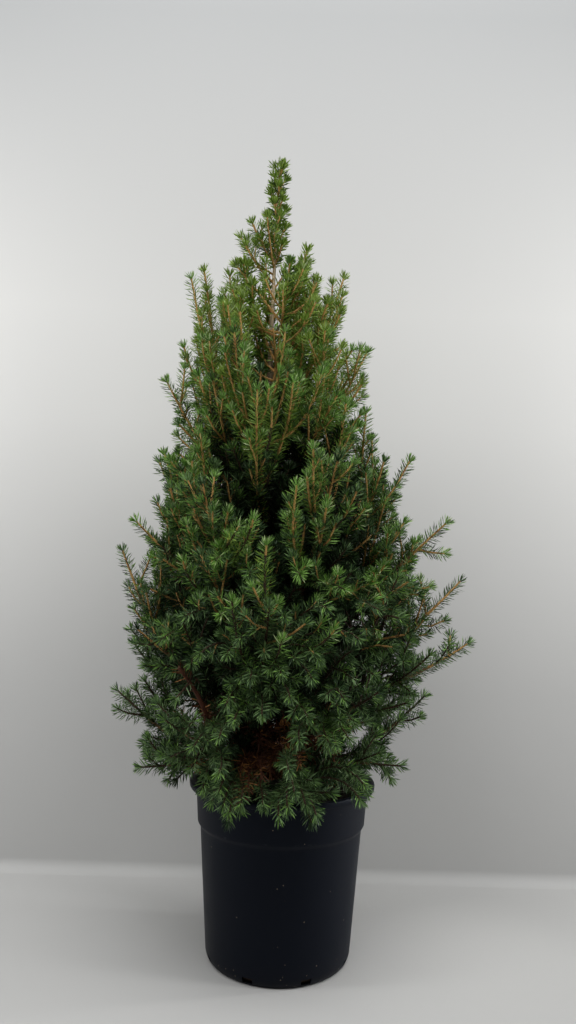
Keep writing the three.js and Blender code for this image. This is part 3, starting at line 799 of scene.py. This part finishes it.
# How each kind of growth leaves what carries it: its order and the seed; in millimetres, the bare stretch at
# the carrier's foot and tip, the gap, the longest and the shortest; then the spread in degrees, the share of
# the carrier's length, how much it is drawn upwards, and how crowded its place may be.
GROWTH = {
    "side_boughs": (1, 3000, 0, 90, 24, 300, 60, 38, 0.85, 1.2, 12),
    "inner_twigs": (2, 3500, 0, 100, 11, 90, 30, 55, 0.5, 1.0, 40),
    "back_twigs": (2, 3700, 0, 50, 13, 90, 30, 58, 0.5, 1.0, 60),
    "trunk_twigs": (2, 3950, 0, 0, 10, 56, 26, 40, 0.30, 0.8, 60),
    "leader_twigs": (2, 3900, 0, 12, 6, 32, 15, 36, 0.24, 0.8, 60),
    "leading_twigs": (2, 4500, 0, 65, 18, 60, 20, 42, 0.35, 1.2, 20),
    "stem_twigs": (2, 4000, 0, 40, 20, 130, 34, 42, 0.45, 1.2, 17),
    "bough_twigs": (2, 5000, 6, 40, 16, 110, 30, 40, 0.55, 1.2, 18),
    "stem_shoots": (3, 6000, 6, 22, 16, 30, 13, 50, 0.45, 1.0, 26),
    "bough_shoots": (3, 7000, 6, 22, 16, 30, 13, 50, 0.45, 1.0, 26),
    "lower_shoots": (3, 8000, 6, 22, 16, 30, 13, 50, 0.45, 1.0, 26),
    "upper_shoots": (3, 9900, 6, 22, 22, 30, 13, 50, 0.45, 1.0, 16),
}
LUCK_SEED = 500
DROOP_FRONT = -0.05
DROOP_BELOW = 0.42
DROOP = -0.65
HANGING_LIFT = -0.15
LEAST_LIFT = 0.15
LIGHT_FROM = 0.78
LIGHT_SPAN = 0.18


def add_sprays(name, parents):
    """Grows one kind of growth on each parent, and keeps what has light and stays in the crown."""
    order, seed, *lengths, spread, share, lift_share, crowd_limit = GROWTH[name]
    first, last, gap, longest, shortest = (length / 1000 for length in lengths)
    added = []
    for number, parent in enumerate(parents):
        path = parent.path
        x, y, z = path.at(0.6 * path.length)
        if y < DROOP_FRONT and z < DROOP_BELOW:
            lift = DROOP
        else:
            stem_lift = stems[parent.own].lift
            lift = HANGING_LIFT if stem_lift < 0 else max(LEAST_LIFT, lift_share * stem_lift)
        begin = first + max(parent.clad_from, path.bare_to)
        most = min(max(share * path.length, 1.3 * shortest), longest)
        luck = seeded_stream(seed + LUCK_SEED + number)
        for grown in grown_from(path, seed + number, begin, last, gap, math.radians(spread), most, shortest,
                                UP * lift, SPRAY_WAVER):
            limit = LIGHT_FROM + LIGHT_SPAN * luck()

            def has_room(point):
                return in_reach(point) and outness(point) < limit and not in_opening(point)

            kept = kept_path(grown, has_room, shortest)
            if kept is None or crowding(kept) > crowd_limit:
                continue
            kept.bare_to = 0.0
            added.append(Spray(kept, order, parent.own, 0.003))
    sprays.extend(added)
    return added


# The shoots that stand out from the crown, in the open: where each one's straight part begins and ends.
LEADING_SHOOTS = np.array((
    ((-46, -98, 569), (-45, -110, 721)), ((-25, -88, 647), (-27, -100, 702)),
    ((26, -114, 557), (26, -126, 646)), ((-5, -142, 509), (7, -154, 597)),
    ((54, -48, 584), (69, -60, 718)), ((93, 12, 586), (101, 0, 720)),
    ((-104, -70, 564), (-118, -82, 669)), ((-116, -78, 545), (-126, -90, 632)),
    ((-51, -158, 510), (-42, -170, 554)), ((-72, -152, 521), (-58, -164, 546)),
    ((-29, -166, 472), (-26, -178, 525)), ((-10, -62, 681), (6, -74, 700)),
    ((-61, -60, 714), (-73, -72, 833)), ((-70, -74, 681), (-90, -86, 774)),
    ((-108, 12, 793), (-131, 0, 915)), ((-7, 12, 776), (8, 0, 931)), ((14, -42, 812), (26, -54, 856)),
    ((-134, 12, 732), (-155, 0, 805)), ((52, 12, 723), (95, 0, 804)),
    ((-51, -170, 371), (-63, -182, 461)), ((-119, -108, 459), (-128, -120, 505)),
    ((-10, -178, 386), (-5, -190, 419)), ((45, -166, 401), (53, -178, 432)),
    ((33, 12, 816), (46, 0, 877)), ((-54, -12, 827), (-75, -24, 918)), ((-19, -82, 713), (-13, -94, 801)),
    ((18, -76, 663), (35, -88, 749)), ((-82, -28, 765), (-100, -40, 858)),
    ((-46, 0, 939), (-65, -10, 982)), ((-52, -10, 910), (-73, -20, 945)),
    ((-63, -15, 891), (-85, -25, 914)), ((1, -2, 882), (13, -12, 944)), ((14, -20, 849), (28, -30, 892)),
    ((-69, -40, 820), (-87, -50, 871)), ((-91, -10, 833), (-100, -20, 876)),
    ((28, -30, 823), (43, -40, 859)), ((-53, -10, 780), (-63, -20, 862)),
)) / 1000
# The tips of the lower shoots that grow straight out to the front and show as rosettes, of those that hang
# over the pot's rim, of the dead ones in the brown hollow, and the ends of the dead bough low on the left.
FACING_TIPS = np.array((
    (-76, -174, 442), (-3, -186, 443), (45, -182, 454), (-67, -178, 399), (-119, -154, 439),
    (37, -182, 397), (30, -182, 375), (-39, -184, 374), (-5, -186, 379), (6, -184, 354), (-98, -166, 397),
    (-66, -178, 343), (26, -180, 333), (-25, -184, 334), (18, -180, 306), (-102, -162, 293),
    (-56, -180, 326), (-72, -176, 307), (7, -178, 273), (-71, -172, 267), (-44, -176, 489),
    (-85, -160, 505), (64, -172, 475), (83, -168, 419), (67, -170, 352), (-126, -152, 344),
    (-149, -132, 409), (52, -168, 302), (-52, -182, 416), (13, -178, 490), (106, -160, 453),
    (-131, -144, 308), (75, -158, 306),
)) / 1000
RIM_TIPS = np.array((
    (-59, -160, 221), (-80, -150, 230), (-93, -134, 240), (-46, -165, 232), (-3, -170, 221),
    (7, -170, 230), (-21, -160, 231), (40, -160, 220), (27, -160, 232), (98, -120, 245), (92, -130, 231),
    (-90, -130, 255), (-72, -156, 242), (14, -166, 246), (-66, -162, 230),
)) / 1000
DEAD_TIPS = np.array((
    (-29, -110, 287), (1, -130, 282), (-14, -135, 261), (-39, -125, 237), (80, -80, 308), (-93, -90, 306),
    (-25, -90, 263), (-8, -122, 272), (-39, -150, 243), (-24, -146, 256), (-49, -130, 260),
    (6, -130, 291), (20, -140, 274), (-49, -155, 232),
)) / 1000
DEAD_BOUGH = np.array(((-83, -100, 322), (-128, -116, 376))) / 1000
BENDS_OVER = 0.006
# The young share of a shoot's straight part: a long one's, and a shorter one's by its tip's height.
LONG_STRAIGHT = 0.06
LONG_YOUNG_SHARE = 0.9
YOUNG_SHARES = ((0.60, 0.25), (TOTAL_HEIGHT, 0.5))


def reaching_spray(foot, tip, order):
    """A shoot that leaves the nearest limb under its foot, bends there and ends at its tip."""
    inner = (stem_points[:, 2] < foot[2] - BENDS_OVER) & (outness(stem_points) < outness(foot))
    away = np.where(inner, np.linalg.norm(stem_points - foot, axis=1), np.inf)
    start = stem_points[away.argmin()]
    share = np.linspace(0.0, 1.0, 40)[:, None]
    curve = start * (1 - share) ** 2 + foot * 2 * share * (1 - share) + tip * share ** 2
    lengths = np.concatenate(((0.0,), np.cumsum(np.linalg.norm(np.diff(curve, axis=0), axis=1))))
    steps = np.linspace(0.0, lengths[-1], max(4, int(lengths[-1] / PATH_STEP)))
    path = Path(np.stack([np.interp(steps, lengths, axis) for axis in curve.T], axis=1), lengths[-1])
    path.bare_to = 0.0
    own = int(np.searchsorted(stem_starts, away.argmin(), side="right")) - 1
    spray = Spray(path, order, own, 0.006)
    straight = math.sqrt((tip - foot) @ (tip - foot))
    young_share = LONG_YOUNG_SHARE if straight > LONG_STRAIGHT else by_height(tip[2], YOUNG_SHARES)
    spray.old_to = lengths[-1] - young_share * straight
    return spray


def tip_height(spray):
    return spray.path.points[-1][2]


# How far the facing shoots' straight parts slope down to their tips, by the tip's height.
SAGS = ((0.26, 0.036), (0.42, 0.026), (TOTAL_HEIGHT, 0.014))
ALL_YOUNG_ABOVE = 0.72
sprays = []
for own, stem in enumerate(stems):
    sprays.append(Spray(stem, 0, own, stem.bare_to + 0.004 if stem.bare_to else 0.02))
clad_stems = list(sprays)
leading = [reaching_spray(foot, tip, 1) for foot, tip in LEADING_SHOOTS]
for spray in leading:
    spray.leading = True
    if tip_height(spray) > ALL_YOUNG_ABOVE:
        spray.old_to = 0.0
facing = []
for tips, reach, dead in ((FACING_TIPS, 0.042, False), (RIM_TIPS, 0.036, False), (DEAD_TIPS, 0.034, True)):
    for tip in tips:
        outwards = unit(np.array((tip[0] - TRUNK_X, tip[1], 0.0)))
        spray = reaching_spray(tip - reach * outwards + UP * by_height(tip[2], SAGS), tip, 2)
        spray.dead = dead
        spray.old_to = spray.path.length
        facing.append(spray)
dead_bough = reaching_spray(*DEAD_BOUGH, 4)
dead_bough.clad_from = 0.020
dead_bough.dead = True
sprays.extend(leading + facing + [dead_bough])
source_twigs = []
for own, stem in enumerate(stems):
    longest = min(max(TWIG_LENGTH_SHARE * stem.length, 1.4 * TWIG_SHORTEST), TWIG_LONGEST)
    pull = UP * (-0.2 if stem.lift < 0 else max(0.15, 0.9 * stem.lift))
    first = TWIG_FIRST + (stem.bare_to or trunk_radius(stem.foot))
    for grown in grown_from(stem, TWIG_SEED + own, first, TWIG_LAST, TWIG_GAP, TWIG_SPREAD, longest,
                            TWIG_SHORTEST, pull, TWIG_WAVER):
        twig = kept_path(grown, lambda point: room_at(point, own) > LEAST_ROOM, TWIG_SHORTEST)
        if twig is not None and outness(twig.points[-1]) < MOST_OUTNESS:
            twig.bare_to = 0.0
            source_twigs.append(Spray(twig, 2, own, 0.004))
sprays.extend(source_twigs)

# The scene's own growth. Side boughs and inner twigs may leave a limb's bare foot too, and the rest may not.
LOW_STEMS_BELOW = 0.66
BACK_STEMS_BEHIND = 0.06
OLD_BOUGHS_BELOW = 0.60
OLD_BOUGH_SHARE = 0.6
TRUNK_TWIGS_FROM = 0.70
UPPER_TWIGS_ABOVE = 0.68
for stem in stems:
    stem.bare_to = 0.0
for spray in clad_stems:
    spray.clad_kept = spray.clad_from
    spray.clad_from = 0.012
limb_sprays = clad_stems[:LEADER]
side_boughs = add_sprays("side_boughs", limb_sprays)
for spray in side_boughs:
    if tip_height(spray) < OLD_BOUGHS_BELOW:
        spray.old_to = OLD_BOUGH_SHARE * spray.path.length
low_stems = [spray for spray in limb_sprays if tip_height(spray) < LOW_STEMS_BELOW]
twigs = facing + source_twigs + add_sprays("inner_twigs", low_stems)
for spray in clad_stems:
    spray.clad_from = spray.clad_kept
back_stems = [spray for spray in limb_sprays if spray.path.points[-1][1] > BACK_STEMS_BEHIND]
twigs += add_sprays("back_twigs", back_stems)
upper_heights = np.linspace(TRUNK_TWIGS_FROM, LEADER_FOOT, 32)
upper_trunk = Path([trunk_point(height) for height in upper_heights], LEADER_FOOT - TRUNK_TWIGS_FROM)
upper_trunk.bare_to = 0.0
twigs += add_sprays("trunk_twigs", [Spray(upper_trunk, 0, LEADER, 0.0)])
for name, parents in (("leader_twigs", clad_stems[LEADER:]), ("leading_twigs", leading),
                      ("stem_twigs", clad_stems), ("bough_twigs", side_boughs)):
    twigs += add_sprays(name, parents)
add_sprays("stem_shoots", clad_stems)
add_sprays("bough_shoots", side_boughs + leading)
add_sprays("lower_shoots", [spray for spray in twigs if spray.path.points[0][2] <= UPPER_TWIGS_ABOVE])
add_sprays("upper_shoots", [spray for spray in twigs if spray.path.points[0][2] > UPPER_TWIGS_ABOVE])

# The share of the inner shoots that are dead: how high and how far out they stand at most, and the share.
DEAD_SHARES = ((0.325, 0.6, 0.75), (0.505, 0.4, 0.25))
deal = np.random.default_rng(11)
for spray in sprays:
    spray.middle = spray.path.at(spray.path.length / 2)
    spray.outness = float(outness(spray.path.at(0.7 * spray.path.length)))
    spray.luck = deal.random()
    shares = [share for top, out, share in DEAD_SHARES if spray.middle[2] < top and spray.outness < out]
    spray.dead = spray.dead or (spray.order > 1 and spray.luck < max(shares, default=0.0))

# Each order's radius at the foot and the tip, and its number of sides; 4 is the dead bough.
TWIG_SIZES = {1: (0.0019, 0.0013, 5), 2: (0.0015, 0.0010, 4), 3: (0.0011, 0.0008, 3), 4: (0.0036, 0.0020, 8)}
TWIG_RING = 0.012
LIMB_END_SIDES = 8
LIMB_END_RINGS = 16
LIMB_END_RADIUS = 0.0011
YOUNG_ABOVE = 0.40
YOUNG_LIMBS_ABOVE = 0.60
YOUNG_LIMBS_OUTSIDE = 0.10
ALL_TWIGS_YOUNG_ABOVE = 0.70
SHORTEST_TWIG_PART = 0.004
twig_parts = {"old_twigs": [], "young_twigs": [], "dead_twigs": []}
for path in limbs:
    rings = np.linspace(path.young_from - 0.003, path.length - 0.002, LIMB_END_RINGS)
    joint_radius = limb_radius(path, path.young_from)
    radii = joint_radius + (LIMB_END_RADIUS - joint_radius) * np.linspace(0.0, 1.0, LIMB_END_RINGS) ** 0.7
    tip = path.points[-1]
    young = tip[2] > YOUNG_LIMBS_ABOVE or tip[2] > YOUNG_ABOVE and abs(tip[0]) > YOUNG_LIMBS_OUTSIDE
    name = "young_twigs" if young else "old_twigs"
    twig_parts[name].append(tube(path.at(rings), radii, LIMB_END_SIDES))
for spray in sprays:
    if spray.order == 0:
        continue
    path = spray.path
    foot_radius, tip_radius, sides = TWIG_SIZES[spray.order]
    height = spray.middle[2]
    young = spray.outness > 0.6 - 0.35 * (height - 0.45) and height > YOUNG_ABOVE and not spray.dead
    young = (young or height > ALL_TWIGS_YOUNG_ABOVE) and not in_opening(spray.middle, THIN_PLACES)
    turns_at = min(spray.old_to, path.length) if young else path.length
    older = "dead_twigs" if spray.dead else "old_twigs"
    for name, start, end in ((older, 0.0, turns_at), ("young_twigs", turns_at, path.length - 0.002)):
        if end - start < SHORTEST_TWIG_PART:
            continue
        rings = np.linspace(start, end, max(3, int((end - start) / TWIG_RING)))
        radii = foot_radius + (tip_radius - foot_radius) * rings / path.length
        twig_parts[name].append(tube(path.at(rings), radii, sides))


def twig_material(name, light, dark, ridged):
    """A twig's bark: fine streaks along it and the pegs that fallen needles leave."""
    material, tree, shader = new_material(name, 0.62, 0.2)
    patches, grain = placed_group(tree, mottle, Patch_Scale=140.0, Grain_Scale=1400.0, Stretch=0.6)
    colour = mixed_colours(tree, mapped(tree, patches, 0.35, 0.65), dark, light)
    colour = mixed_colours(tree, mapped(tree, grain, 0.5, 0.62, 0.0, 0.6), colour, ridged)
    fill(tree, shader.inputs["Base Color"], colour)
    fill(tree, shader.inputs["Roughness"], mapped(tree, grain, 0.3, 0.7, 0.5, 0.75))
    bumped(tree, shader, grain, 0.0004)
    return material


TWIG_COLOURS = {
    "old_twigs": ((0.070, 0.038, 0.022), (0.034, 0.019, 0.012), (0.018, 0.010, 0.006)),
    "young_twigs": ((0.640, 0.370, 0.125), (0.430, 0.225, 0.070), (0.22, 0.10, 0.035)),
    "dead_twigs": ((0.150, 0.055, 0.030), (0.080, 0.030, 0.018), (0.04, 0.018, 0.01)),
}
foliage_nodes = ["foliage_" + name for name in LIMBS] + ["foliage_leader"]
for name, parts in twig_parts.items():
    finish = twig_material(name.replace("twigs", "twig bark").replace("_", " "), *TWIG_COLOURS[name])
    finish_piece(joined_mesh(name, *join_parts(parts), 60), finish, "bark", *foliage_nodes)

# The needles: stiff, four-sided and pointed, about a centimetre long, set singly all round each shoot and
# leaning forward, closer and shorter towards its tip. Each is a bent blade of three faces in the needle's
# outline. Their colour is dealt out shoot by shoot: blue green low down, yellower above, lighter at the tips,
# near black and dark green deep in the crown as painted shade, and with a few whitish needles among the
# freshest as a painted highlight.
NEEDLE_GAP = 0.00052
DEAD_GAP_TIMES = 1.5
UPPER_GAP_TIMES = 1.25
UPPER_GAP_FROM = 0.66
NEEDLE_LENGTH = 0.0136
NEEDLE_WIDTH = 0.0012
# Needles of shoots deep in the crown are drawn wider, so that their painted shade fills the crown's dark
# inside.
INNER_WIDTH_TIMES = 1.7
INNER_TO = 0.45
TIP_NEEDLES = 19
UPPER_TIP_NEEDLES = 28
UPPER_TIPS_FROM = 0.62
TIP_STRETCH = 0.003
CLOSING_STRETCH = 0.010
PEG_HEIGHT = 0.0010
SHOULDER_AT = 0.66
FOOT_WIDTH_SHARE = 0.6
BEND_SHARE = 0.03
LEAST_OVER_POT = 0.0006
NEEDLE_SPARE = 0.004
FRESH_STRETCH = 0.013
FRESH_SHARE = 0.45
THINNED_SHARE = 0.86
THIN_BLUR = 0.004
DARKER_SHARE = 0.30
LIGHTER_SHARE = 0.14
NEEDLES_A_PIECE = 64000
# Each colour, with the darker and the lighter one that some needles of its shoots have among the rest. The
# whitish green that the freshest greens have among them is a painted highlight, standing in for glints of
# light on the waxy needles.
NEEDLE_COLOURS = {
    "shade_green": ((0.007, 0.014, 0.003), "shade_green", "deep_green"),
    "deep_green": ((0.015, 0.031, 0.008), "shade_green", "blue_green"),
    "low_green": ((0.068, 0.118, 0.036), "blue_green", "pale_blue_green"),
    "blue_green": ((0.037, 0.076, 0.027), "deep_green", "pale_blue_green"),
    "dull_green": ((0.080, 0.156, 0.034), "deep_green", "fresh_green"),
    "leaf_green": ((0.155, 0.262, 0.039), "dull_green", "yellow_green"),
    "olive_green": ((0.172, 0.262, 0.037), "leaf_green", "yellow_green"),
    "spire_green": ((0.094, 0.150, 0.026), "blue_green", "olive_green"),
    "pale_blue_green": ((0.138, 0.232, 0.084), "blue_green", "fresh_green"),
    "fresh_green": ((0.190, 0.360, 0.070), "dull_green", "painted_highlight_green"),
    "yellow_green": ((0.240, 0.350, 0.055), "olive_green", "painted_highlight_green"),
    "painted_highlight_green": ((0.400, 0.500, 0.230), "painted_highlight_green", "painted_highlight_green"),
    "dead_brown": ((0.340, 0.150, 0.046), "dry_brown", "dead_brown"),
    "dry_brown": ((0.095, 0.034, 0.015), "dry_brown", "dead_brown"),
}
# Which colours a living shoot's older and fresh needles have: those of the first row that it lies within, by
# how far out it stands, how high, and its luck. Shoots deep in the crown below 0.68 m get the near-black
# shade green and the deep green as painted shade for the crown's dark inside.
NEEDLE_ZONES = (
    (0.44, 0.68, 1.00, "shade_green", "deep_green"),
    (0.42, 0.80, 1.00, "dull_green", "leaf_green"),
    (0.66, 0.60, 1.00, "deep_green", "blue_green"),
    (0.66, 0.68, 1.00, "deep_green", "dull_green"),
    (9.00, 0.34, 1.00, "low_green", "pale_blue_green"),
    (9.00, 0.46, 0.70, "blue_green", "pale_blue_green"),
    (9.00, 0.46, 1.00, "dull_green", "pale_blue_green"),
    (9.00, 0.66, 0.45, "dull_green", "pale_blue_green"),
    (9.00, 0.66, 1.00, "dull_green", "fresh_green"),
    (9.00, 0.76, 1.00, "leaf_green", "fresh_green"),
    (9.00, 0.94, 1.00, "olive_green", "yellow_green"),
    (9.00, 9.00, 1.00, "spire_green", "olive_green"),
)
HEIGHT_MIX = 0.12
LEADING_TO = 0.76
LEADING_LEAF_FROM = 0.46
BRIGHT_DEAD_OUTSIDE = 0.50
BRIGHT_DEAD_LUCK = 0.3


def needle_colours(spray):
    """The colour of a shoot's older needles and of the fresh ones at its tip."""
    height = spray.middle[2] + HEIGHT_MIX * (spray.luck - 0.5)
    if spray.dead:
        bright = spray.outness > BRIGHT_DEAD_OUTSIDE and spray.luck > BRIGHT_DEAD_LUCK
        return "dry_brown", "dead_brown" if bright else "dry_brown"
    if spray.leading and height < LEADING_TO:
        return "leaf_green" if height > LEADING_LEAF_FROM else "dull_green", "fresh_green"
    return next((older, fresh) for out, top, luck, older, fresh in NEEDLE_ZONES
                if spray.outness < out and height < top and spray.luck < luck)


def crossed(first, second):
    """The unit direction square to two others, row by row."""
    product = np.cross(first, second)
    return product / np.linalg.norm(product, axis=1, keepdims=True)


def turned_between(first, second, angle):
    """Rows of directions turned from the first towards the second."""
    return first * np.cos(angle)[:, None] + second * np.sin(angle)[:, None]


def needles_of(spray, random):
    """A shoot's needles as rows of five corners, two at the foot, two at the shoulder and the tip, with
    whether each is a fresh one."""
    path = spray.path
    upper_times = UPPER_GAP_TIMES if spray.middle[2] > UPPER_GAP_FROM else 1
    gap = NEEDLE_GAP * (DEAD_GAP_TIMES if spray.dead else upper_times)
    count = max(0, int((path.length - spray.clad_from) / gap))
    at = spray.clad_from + (np.arange(count) + random.uniform(-0.4, 0.4, count)) * gap
    if not spray.dead and spray.clad_from < path.length:
        tip_needles = UPPER_TIP_NEEDLES if tip_height(spray) > UPPER_TIPS_FROM else TIP_NEEDLES
        at = np.append(at, path.length - random.uniform(0.0, TIP_STRETCH, tip_needles))
    count = len(at)
    centres = path.at(at)
    along = path.along(at)
    to_tip = np.clip((path.length - at) / CLOSING_STRETCH, 0.0, 1.0)
    turn = np.arange(count) * GOLDEN_ANGLE + random.uniform(-0.3, 0.3, count)
    level = crossed(along, np.where(np.abs(along[:, 2:3]) > 0.95, np.array((1.0, 0.0, 0.0)), UP))
    out = turned_between(level, np.cross(level, along), turn)
    lean = np.radians(26 + 32 * to_tip + random.uniform(-1, 1, count) * (22 - 8 * to_tip))
    heading = turned_between(along, out, lean)
    length = NEEDLE_LENGTH * (0.84 + 0.16 * to_tip) * random.uniform(0.76, 1.12, count)
    level_side = crossed(heading, out)
    upper_side = np.cross(level_side, heading)
    roll = random.uniform(-0.5 * math.pi, 0.5 * math.pi, count)
    side = turned_between(level_side, upper_side, roll)
    half = 0.5 * NEEDLE_WIDTH * (INNER_WIDTH_TIMES if spray.outness < INNER_TO else 1.0) * side
    foot = centres + out * PEG_HEIGHT
    shoulder = foot + heading * (SHOULDER_AT * length)[:, None] + upper_side * (BEND_SHARE * length)[:, None]
    tip = foot + heading * length[:, None]
    corners = np.stack((foot - FOOT_WIDTH_SHARE * half, foot + FOOT_WIDTH_SHARE * half,
                        shoulder + half, shoulder - half, tip), axis=1)
    kept = off_pot(tip) > LEAST_OVER_POT
    kept &= (tip > reach_low - NEEDLE_SPARE).all(axis=1) & (tip < reach_high + NEEDLE_SPARE).all(axis=1)
    kept &= random.random(count) < np.clip(0.50 + 0.9 * outness(centres), 0.5, 1.0)
    kept &= ~in_opening(tip, TRUNK_OPENINGS)
    blurred = tip + random.normal(0.0, THIN_BLUR, (count, 3))
    kept &= ~in_opening(blurred, THIN_PLACES) | (random.random(count) > THINNED_SHARE)
    fresh = (path.length - at) < min(FRESH_STRETCH, FRESH_SHARE * path.length)
    return corners[kept], fresh[kept]


needle_rows = {name: [np.zeros((0, 5, 3))] for name in NEEDLE_COLOURS}
needle_random = np.random.default_rng(23)
for spray in sprays:
    corners, fresh = needles_of(spray, needle_random)
    shade = needle_random.random(len(corners))
    for name, needles in zip(needle_colours(spray), (~fresh, fresh)):
        darker = needles & (shade < DARKER_SHARE)
        lighter = needles & (shade > 1 - LIGHTER_SHARE)
        dealt = zip((*NEEDLE_COLOURS[name][1:], name), (darker, lighter, needles & ~darker & ~lighter))
        for colour_name, chosen in dealt:
            needle_rows[colour_name].append(corners[chosen])


def needle_material(name, colour):
    """A needle's waxy skin: its own plain colour, a little lighter and darker from place to place."""
    material, tree, shader = new_material(name, 0.5, 0.22)
    patches, grain = placed_group(tree, mottle, Patch_Scale=120.0, Grain_Scale=700.0, Stretch=1.0)
    darker, lighter = (tuple(times * share for share in colour) for times in (0.78, 1.22))
    mixed = mixed_colours(tree, mapped(tree, patches, 0.3, 0.7), darker, lighter)
    fill(tree, shader.inputs["Base Color"], mixed)
    fill(tree, shader.inputs["Roughness"], mapped(tree, grain, 0.3, 0.7, 0.40, 0.58))
    return material


for name, (colour, _, _) in NEEDLE_COLOURS.items():
    corners = np.concatenate(needle_rows[name])
    finish = needle_material(name.replace("_", " ") + " needles", colour)
    for number in range(0, len(corners), NEEDLES_A_PIECE):
        share = corners[number:number + NEEDLES_A_PIECE]
        first = 5 * np.arange(len(share))[:, None]
        faces = np.concatenate((first + (0, 1, 2), first + (0, 2, 3), first + (3, 2, 4)))
        piece = joined_mesh(f"needles_{name}_{number // NEEDLES_A_PIECE + 1}", share.reshape(-1, 3), faces)
        finish_piece(piece, finish, "needles", *foliage_nodes)

# The studio: a pale floor that turns up into a backdrop close behind the plant, which can be seen through
# from its back, so that the plant can be looked at from there; soft light from lamps above and beside it; and
# the camera at half a metre's height, a little more than a metre in front of the plant.
BACKDROP_AT = 0.255
BACKDROP_BEND = 0.020
BACKDROP_TOP = 3.2
SWEEP_FRONT = -3.0
SWEEP_HALF_WIDTH = 3.0
SWEEP_BELOW = 0.0004
bend_from = BACKDROP_AT - BACKDROP_BEND
sweep_rows = [(SWEEP_FRONT, 0.0), (bend_from, 0.0)]
for step in range(1, 16):
    angle = math.radians(6 * step)
    sweep_rows.append((bend_from + BACKDROP_BEND * math.sin(angle), BACKDROP_BEND * (1 - math.cos(angle))))
sweep_rows.append((BACKDROP_AT, BACKDROP_TOP))
sweep_points = [(side * SWEEP_HALF_WIDTH, y, z - SWEEP_BELOW) for y, z in sweep_rows for side in (-1, 1)]
sweep_faces = [(2 * row, 2 * row + 1, 2 * row + 3, 2 * row + 2) for row in range(len(sweep_rows) - 1)]
sweep = joined_mesh("studio_sweep", sweep_points, sweep_faces, 60)
sweep_finish, tree, shader = new_material("pale studio sheet", 0.6, 0.2)
patches = placed_group(tree, mottle, Patch_Scale=1.3, Grain_Scale=60.0, Stretch=0.5)[0]
height = height_of(tree, object_place(tree))
# Painted light and shade on the sheet: darker on the floor and low on the backdrop, lighter across its
# middle, and darker again towards its top.
colour = mixed_colours(tree, mapped(tree, height, 0.30, 0.75), (0.474, 0.472, 0.462), (0.590, 0.587, 0.572))
colour = mixed_colours(tree, mapped(tree, height, 0.95, 1.50), colour, (0.380, 0.386, 0.386))
colour = mixed_colours(tree, mapped(tree, patches, 0.3, 0.7, 0.0, 0.06), colour, (0.48, 0.48, 0.48))
fill(tree, shader.inputs["Base Color"], colour)
either_side = add_node(tree, "ShaderNodeMixShader")
fill(tree, either_side.inputs[0], add_node(tree, "ShaderNodeNewGeometry").outputs["Backfacing"])
fill(tree, either_side.inputs[1], shader.outputs["BSDF"])
fill(tree, either_side.inputs[2], add_node(tree, "ShaderNodeBsdfTransparent").outputs["BSDF"])
fill(tree, tree.nodes["Material Output"].inputs["Surface"], either_side.outputs["Shader"])
sweep.data.materials.append(sweep_finish)


def soft_light(name, place, aim, size, power, spread=180):
    """A soft lamp that looks at a point."""
    lamp = bpy.data.lights.new(name, "AREA")
    lamp.shape = "RECTANGLE"
    lamp.size, lamp.size_y = size
    lamp.energy = power
    lamp.spread = math.radians(spread)
    holder = bpy.data.objects.new(name, lamp)
    bpy.context.collection.objects.link(holder)
    holder.location = place
    holder.rotation_euler = (Vector(aim) - Vector(place)).to_track_quat("-Z", "Y").to_euler()


soft_light("overhead_lamp", (0.0, -0.75, 2.3), (0.0, 0.0, 0.5), (2.0, 1.2), 38.7)
soft_light("left_lamp", (-1.15, -0.35, 0.85), (-0.3, 0.25, 0.75), (0.25, 0.9), 6.6)
soft_light("right_lamp", (1.15, -0.35, 0.85), (0.3, 0.25, 0.75), (0.25, 0.9), 6.8)
soft_light("left_glow", (-0.68, -0.02, 0.74), (-0.53, 0.255, 0.74), (0.08, 0.6), 0.15)
soft_light("right_glow", (0.68, -0.02, 0.74), (0.53, 0.255, 0.74), (0.08, 0.6), 0.13)
soft_light("pot_edge_lamp", (0.66, 0.04, 0.27), (0.0, 0.0, 0.13), (0.06, 0.16), 0.24, 64)
world = bpy.data.worlds.new("studio_air")
bpy.context.scene.world = world
world.use_nodes = True
background = world.node_tree.nodes["Background"]
background.inputs["Color"].default_value = (0.90, 0.95, 1.0, 1.0)
background.inputs["Strength"].default_value = 0.113

# The lens and the tilt that give the pot's rim and foot the roundness they have in the photo.
FOCAL_PIXELS = 770
PICTURE_HEIGHT = 1024
SENSOR = 36.0
CAMERA_TILT = 95
CAMERA_ROLL = 1.7
camera_data = bpy.data.cameras.new("camera")
camera_data.sensor_width = SENSOR
camera_data.lens = SENSOR * FOCAL_PIXELS / PICTURE_HEIGHT
camera = bpy.data.objects.new("camera", camera_data)
bpy.context.collection.objects.link(camera)
camera.location = (-0.0028, -EYE_DISTANCE, EYE_HEIGHT)
tilted = Matrix.Rotation(math.radians(CAMERA_TILT), 3, "X")
looking = tilted @ Matrix.Rotation(math.radians(CAMERA_ROLL), 3, "Z")
camera.rotation_euler = looking.to_euler()
bpy.context.scene.camera = camera
bpy.context.scene.view_settings.view_transform = "Standard"
